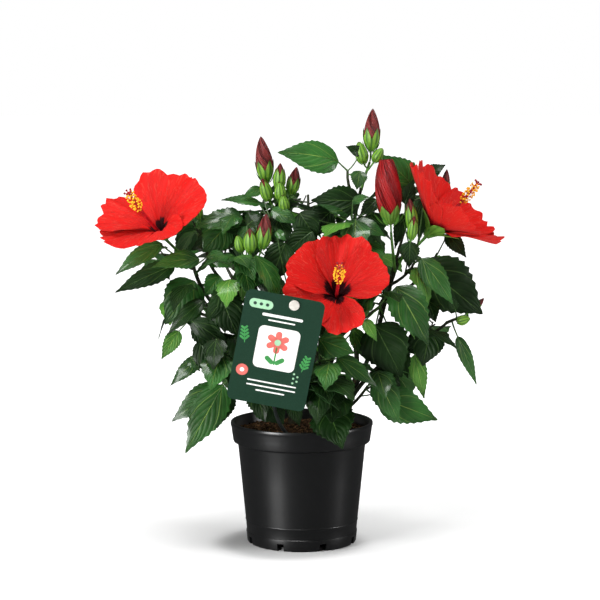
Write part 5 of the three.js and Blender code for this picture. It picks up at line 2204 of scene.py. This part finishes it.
@dataclass
class CareCard:
    """A plastic card on a stick, held by a round button and printed with plain motifs."""

    width: float = 70.4
    height: float = 105.6
    thickness: float = 0.8
    corner: float = 6.0
    centre: Place = (-23.1, -89, 191)
    roll: float = 10.8
    lean: float = 13.6
    peg_across: float = 8.4
    peg_down: float = 7.2
    peg_radius: float = 4.6
    peg_height: float = 1.6
    stick_radius: float = 1.7
    stick_foot: Place = (-4, -44, 100.3)
    bow: Place = (5, -44.8, -10.4)
    raised: float = 0.07
    sunk: float = 0.02

    def matrix(self) -> Matrix:
        """From the card's own frame, x across, y up its face and z out of it, to the plant's.

        Returns:
            The change of frame.
        """
        turn = Matrix.Rotation(math.radians(self.roll), 4, "Y")
        tilt = Matrix.Rotation(math.radians(90 + self.lean), 4, "X")
        return Matrix.Translation(self.centre) @ turn @ tilt

    def build(self) -> None:
        """Builds and dresses the card, its print, its button and its stick."""
        matrix = self.matrix()
        card = Clay()
        middle = Matrix.Translation((0, 0, -self.thickness / 2))
        card.absorb(plate(self.width, self.height, self.corner, self.thickness), matrix @ middle)
        card.fire("care_card", (CARD_GREEN,), Slot.CARD, ("label_card",))
        prints = Clay()
        self.print_on(prints)
        prints.bm.transform(matrix)
        prints.fire("card_print", INKS, Slot.CARD)
        self.build_button(matrix)
        self.build_stick(matrix)

    def print_on(self, prints: Clay) -> None:
        """Lays the motifs: a flower on a white panel, chips, dots, sprigs and plain lines.

        Args:
            prints: the print so far.
        """
        self.block(prints, 0, 37, 40, 5, (0.5, 2))
        self.flower(prints, (0.5, 3))
        self.block(prints, 1, 21, 8.4, 4, (-20, 41))
        for across in (-25.5, -20, -14.5):
            self.disc(prints, 4, 1.5, (across, 41), layer=2)
        for up, width, deep in ((32.2, 36, 2.6), (27.6, 24, 1.3)):
            self.block(prints, 0, width, deep, deep * 0.45, (0.5, up))
        self.disc(prints, 2, 5.4, (-26, -23))
        self.disc(prints, 0, 2.0, (-26, -23), layer=2)
        self.sprig(prints, (27.5, -8), 78)
        self.sprig(prints, (-29.5, 10), 100)
        for up, width in ((-31, 44), (-35.4, 44), (-39.8, 26)):
            self.block(prints, 0, width, 1.3, 0.6, (2, up))
        for k in range(5):
            self.disc(prints, 1, 1.0, (20 + (k % 2) * 3.4, -18.5 - k * 2.2))

    def block(
        self,
        prints: Clay,
        ink: int,
        width: float,
        height: float,
        corner: float,
        place: Pair,
        turn: float = 0.0,
        layer: int = 1,
    ) -> None:
        """Lays a rounded block of one ink.

        Args:
            prints: the print so far.
            ink: the ink's index.
            width: how wide it is.
            height: how tall it is.
            corner: the radius of its corners.
            place: its middle, across and up the card.
            turn: how far it is turned, in degrees.
            layer: how many inks deep it lies.
        """
        rest = Matrix.Translation((*place, self.thickness / 2 - self.sunk))
        spin = Matrix.Rotation(math.radians(turn), 4, "Z")
        made = plate(width, height, corner, self.raised * layer + self.sunk)
        prints.absorb(made, rest @ spin, ink)

    def disc(self, prints: Clay, ink: int, radius: float, place: Pair, layer: int = 1) -> None:
        """Lays a disc of one ink."""
        self.block(prints, ink, radius * 2, radius * 2, radius * 0.995, place, layer=layer)

    def flower(self, prints: Clay, place: Pair) -> None:
        """Lays a plain flower with a stalk and two leaves.

        Args:
            prints: the print so far.
            place: its middle.
        """
        x, y = place
        self.block(prints, 3, 1.3, 17, 0.6, (x, y - 8), layer=2)
        for turn, across in ((38, 4.6), (-38, -4.6)):
            self.block(prints, 3, 9.5, 4.2, 2.05, (x + across, y - 12.5), turn, layer=3)
        for k in range(6):
            angle = math.radians(k * 60 + 90)
            spot = (x + 6.2 * math.cos(angle), y + 5 + 6.2 * math.sin(angle))
            self.block(prints, 2, 8.6, 5.6, 2.75, spot, k * 60 + 90, layer=2)
        self.disc(prints, 1, 2.9, (x, y + 5), layer=4)

    def sprig(self, prints: Clay, place: Pair, lean: float) -> None:
        """Lays a sprig of narrow leaves on both sides of a stalk.

        Args:
            prints: the print so far.
            place: its middle.
            lean: its lean, in degrees.
        """
        x, y = place
        way = Vector((math.cos(math.radians(lean)), math.sin(math.radians(lean))))
        self.block(prints, 3, 15, 0.8, 0.38, (x, y), lean)
        for k in range(4):
            spot = way * (k * 3.4 - 4.5)
            for side in (-1, 1):
                reach = 2.9 - k * 0.3
                angle = lean + side * 48
                tip = Vector((math.cos(math.radians(angle)), math.sin(math.radians(angle)))) * reach
                at = (x + spot.x + tip.x, y + spot.y + tip.y)
                self.block(prints, 3, reach * 1.9, 1.9, 0.93, at, angle, layer=2)

    def build_button(self, matrix: Matrix) -> None:
        """Builds the round button that holds the card to its stick.

        Args:
            matrix: from the card's frame to the plant's.
        """
        clay = Clay()
        bmesh.ops.create_circle(clay.bm, cap_ends=True, segments=40, radius=self.peg_radius)
        clay.raise_all(self.peg_height)
        lid = max(clay.bm.faces, key=lambda face: face.calc_center_median().z)
        clay.bevel(list(lid.edges), 0.5, 3, "EDGES")
        lid = max(clay.bm.faces, key=lambda face: face.calc_center_median().z + face.calc_area())
        bmesh.ops.inset_region(clay.bm, faces=[lid], thickness=0.9, depth=-0.25)
        up = self.height / 2 - self.peg_down
        rest = Matrix.Translation((self.peg_across, up, self.thickness / 2 + 0.3))
        clay.bm.transform(matrix @ rest)
        clay.fire("card_button", (BUTTON_CREAM,), Slot.BUTTON, ("label_button",), sharp=35)

    def build_stick(self, matrix: Matrix) -> None:
        """Builds the stick that bows up behind the card.

        Args:
            matrix: from the card's frame to the plant's.
        """
        clay = Clay()
        up = self.height / 2 - self.peg_down
        behind = -self.thickness / 2 - 0.3 - self.stick_radius - 0.2
        head = matrix @ Vector((self.peg_across, up, behind))
        curve = Curve((self.stick_foot, matrix @ Vector(self.bow), head))
        clay.tube(curve, lambda t: self.stick_radius, 16, 40)
        clay.cut_at_ground()
        clay.fire("card_stick", (STICK_DARK,), Slot.STICK, ("label_stick",))


def plate(width: float, height: float, corner: float, thickness: float) -> Clay:
    """A rounded plate whose back lies in the plane z = 0.

    Args:
        width: how wide it is.
        height: how tall it is.
        corner: the radius of its corners.
        thickness: how thick it is.

    Returns:
        The plate.
    """
    clay = Clay()
    size = Matrix.Diagonal((width / 2, height / 2, 1, 1))
    bmesh.ops.create_grid(clay.bm, x_segments=1, y_segments=1, size=1, matrix=size)
    clay.bevel(list(clay.bm.verts), corner, 6 if corner > 1 else 2, "VERTICES")
    clay.raise_all(thickness)
    return clay


# The studio


@dataclass
class Studio:
    """The camera at the photograph's angle, a pale floor and soft lights."""

    EYE = Vector((-1.6, -1850, 446))

    pitch: float = 6.8
    lens: float = 121.3
    floor_size: float = 14.0

    def build(self) -> None:
        """Builds the camera, the floor, the lights and the sky."""
        self.build_camera()
        self.build_floor()
        self.light("left_box", (-1.4, -1.28, 0.6), (0.75, 1.2), 34)
        self.light("right_box", (1.7, -0.36, 0.6), (0.26, 1.0), 9)
        self.light("top_box", (-0.25, -0.45, 1.7), (0.7, 0.5), 14)
        self.build_sun()
        self.build_sky()
        bpy.context.scene.view_settings.view_transform = "Standard"

    def build_camera(self) -> None:
        """Builds the scene's camera."""
        data = bpy.data.cameras.new("camera")
        data.lens = self.lens
        camera = placed("camera", data)
        camera.location = self.EYE * MM
        camera.rotation_euler = (math.radians(90 - self.pitch), 0, 0)
        bpy.context.scene.camera = camera

    def build_floor(self) -> None:
        """Builds the pale floor, with its painted shadow round the pot."""
        bm = bmesh.new()
        bmesh.ops.create_grid(bm, x_segments=1, y_segments=1, size=self.floor_size)
        floor = placed("floor", baked("floor", bm))
        floor.data.materials.append(material_of(FLOOR_PALE))
        floor.visible_glossy = False

    def light(self, name: str, place: Place, size: Span, power: float) -> None:
        """Builds a soft box that is turned to the plant.

        Args:
            name: its name.
            place: its place, in metres.
            size: its width and height.
            power: its power, in watts.
        """
        data = bpy.data.lights.new(name, "AREA")
        data.shape = "RECTANGLE"
        data.size, data.size_y = size
        data.energy = power
        box = placed(name, data)
        box.location = place
        away = Vector((0, 0, 0.2)) - Vector(place)
        box.rotation_euler = away.to_track_quat("-Z", "Y").to_euler()

    def build_sun(self) -> None:
        """Builds the wide soft light from above that makes the whole floor white."""
        data = bpy.data.lights.new("sky_light", "SUN")
        data.energy = 2.0
        data.angle = math.radians(50)
        sun = placed("sky_light", data)
        sun.rotation_euler = (math.radians(-10), math.radians(14), 0)
        sun.visible_glossy = False

    def build_sky(self) -> None:
        """Builds the white surround, which lights the plant less than it shows."""
        world = bpy.data.worlds.new("surround")
        world.use_nodes = True
        nodes, links = world.node_tree.nodes, world.node_tree.links
        back = nodes["Background"]
        back.inputs["Color"].default_value = (1, 1, 1, 1)
        path = nodes.new("ShaderNodeLightPath")
        reach = nodes.new("ShaderNodeMapRange")
        reach.inputs["To Min"].default_value = 0.07
        reach.inputs["To Max"].default_value = 1.0
        links.new(path.outputs["Is Camera Ray"], reach.inputs["Value"])
        links.new(reach.outputs[0], back.inputs["Strength"])
        bpy.context.scene.world = world


REGIONS = {
    "front": ("low_front", "centre_left", "centre", "front", "right_low", "right_bottom"),
    "left": ("low_left", "left", "left_tip", "left_high", "side_left"),
    "right": ("right", "right_mid", "right_tip", "top_right", "side_right"),
    "top": ("top", "upper_left", "top_left"),
    "back": ("back_left", "back_top", "back_right", "back_low"),
}
SKY = OpenSky(
    (
        (9, 340, 7), (19, 331, 11), (31, 338, 8), (40, 332, 8), (46, 324, 6), (15, 322, 6), (40, 354, 7),
        (-61, 324, 7), (-47, 328, 7), (-76, 312, 5), (-106, 253, 7), (-118, 248, 8), (-130, 239, 9),
        (-143, 228, 12), (-156, 219, 12), (-166, 209, 10), (-140, 214, 8), (-73, 251, 8), (-87, 251, 5),
        (-156, 256, 8), (-169, 261, 5), (-105, 186, 7), (-116, 201, 4), (-100, 159, 7), (112, 274, 8),
        (127, 273, 7), (141, 272, 6), (153, 264, 6), (159, 251, 5), (99, 260, 6), (93, 243, 8),
        (102, 240, 6), (77, 285, 5), (83, 275, 6), (73, 214, 9), (84, 209, 6), (168, 214, 7),
        (176, 205, 7), (182, 195, 6), (139, 210, 7), (153, 196, 6), (156, 183, 6), (158, 170, 5),
        (121, 179, 7), (116, 166, 6), (59, 140, 8), (62, 124, 8), (101, 143, 7), (36, 136, 4),
        (-54, 124, 7), (1, 336, 6), (-110, 174, 6), (-89, 157, 4),
    )
)  # fmt: skip
CROWDED = ("bloom", "buds", "stem", "bough", "label", "pot")


def main() -> None:
    """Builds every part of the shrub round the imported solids."""
    logging.basicConfig(level=logging.INFO, format="%(name)s: %(message)s")
    Studio().build()
    NurseryPot().build()
    Soil().build()
    Framework(LIMBS).build()
    standing = [node for name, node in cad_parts.items() if name.startswith(CROWDED)]
    Foliage(MASSES, REGIONS, SKY).build(Crowd(standing))
    Blooms(BLOOM_PLANS).build()
    Buds(CLUSTERS, MASSES).build()
    CareCard().build()


if __name__ == "__main__":
    main()
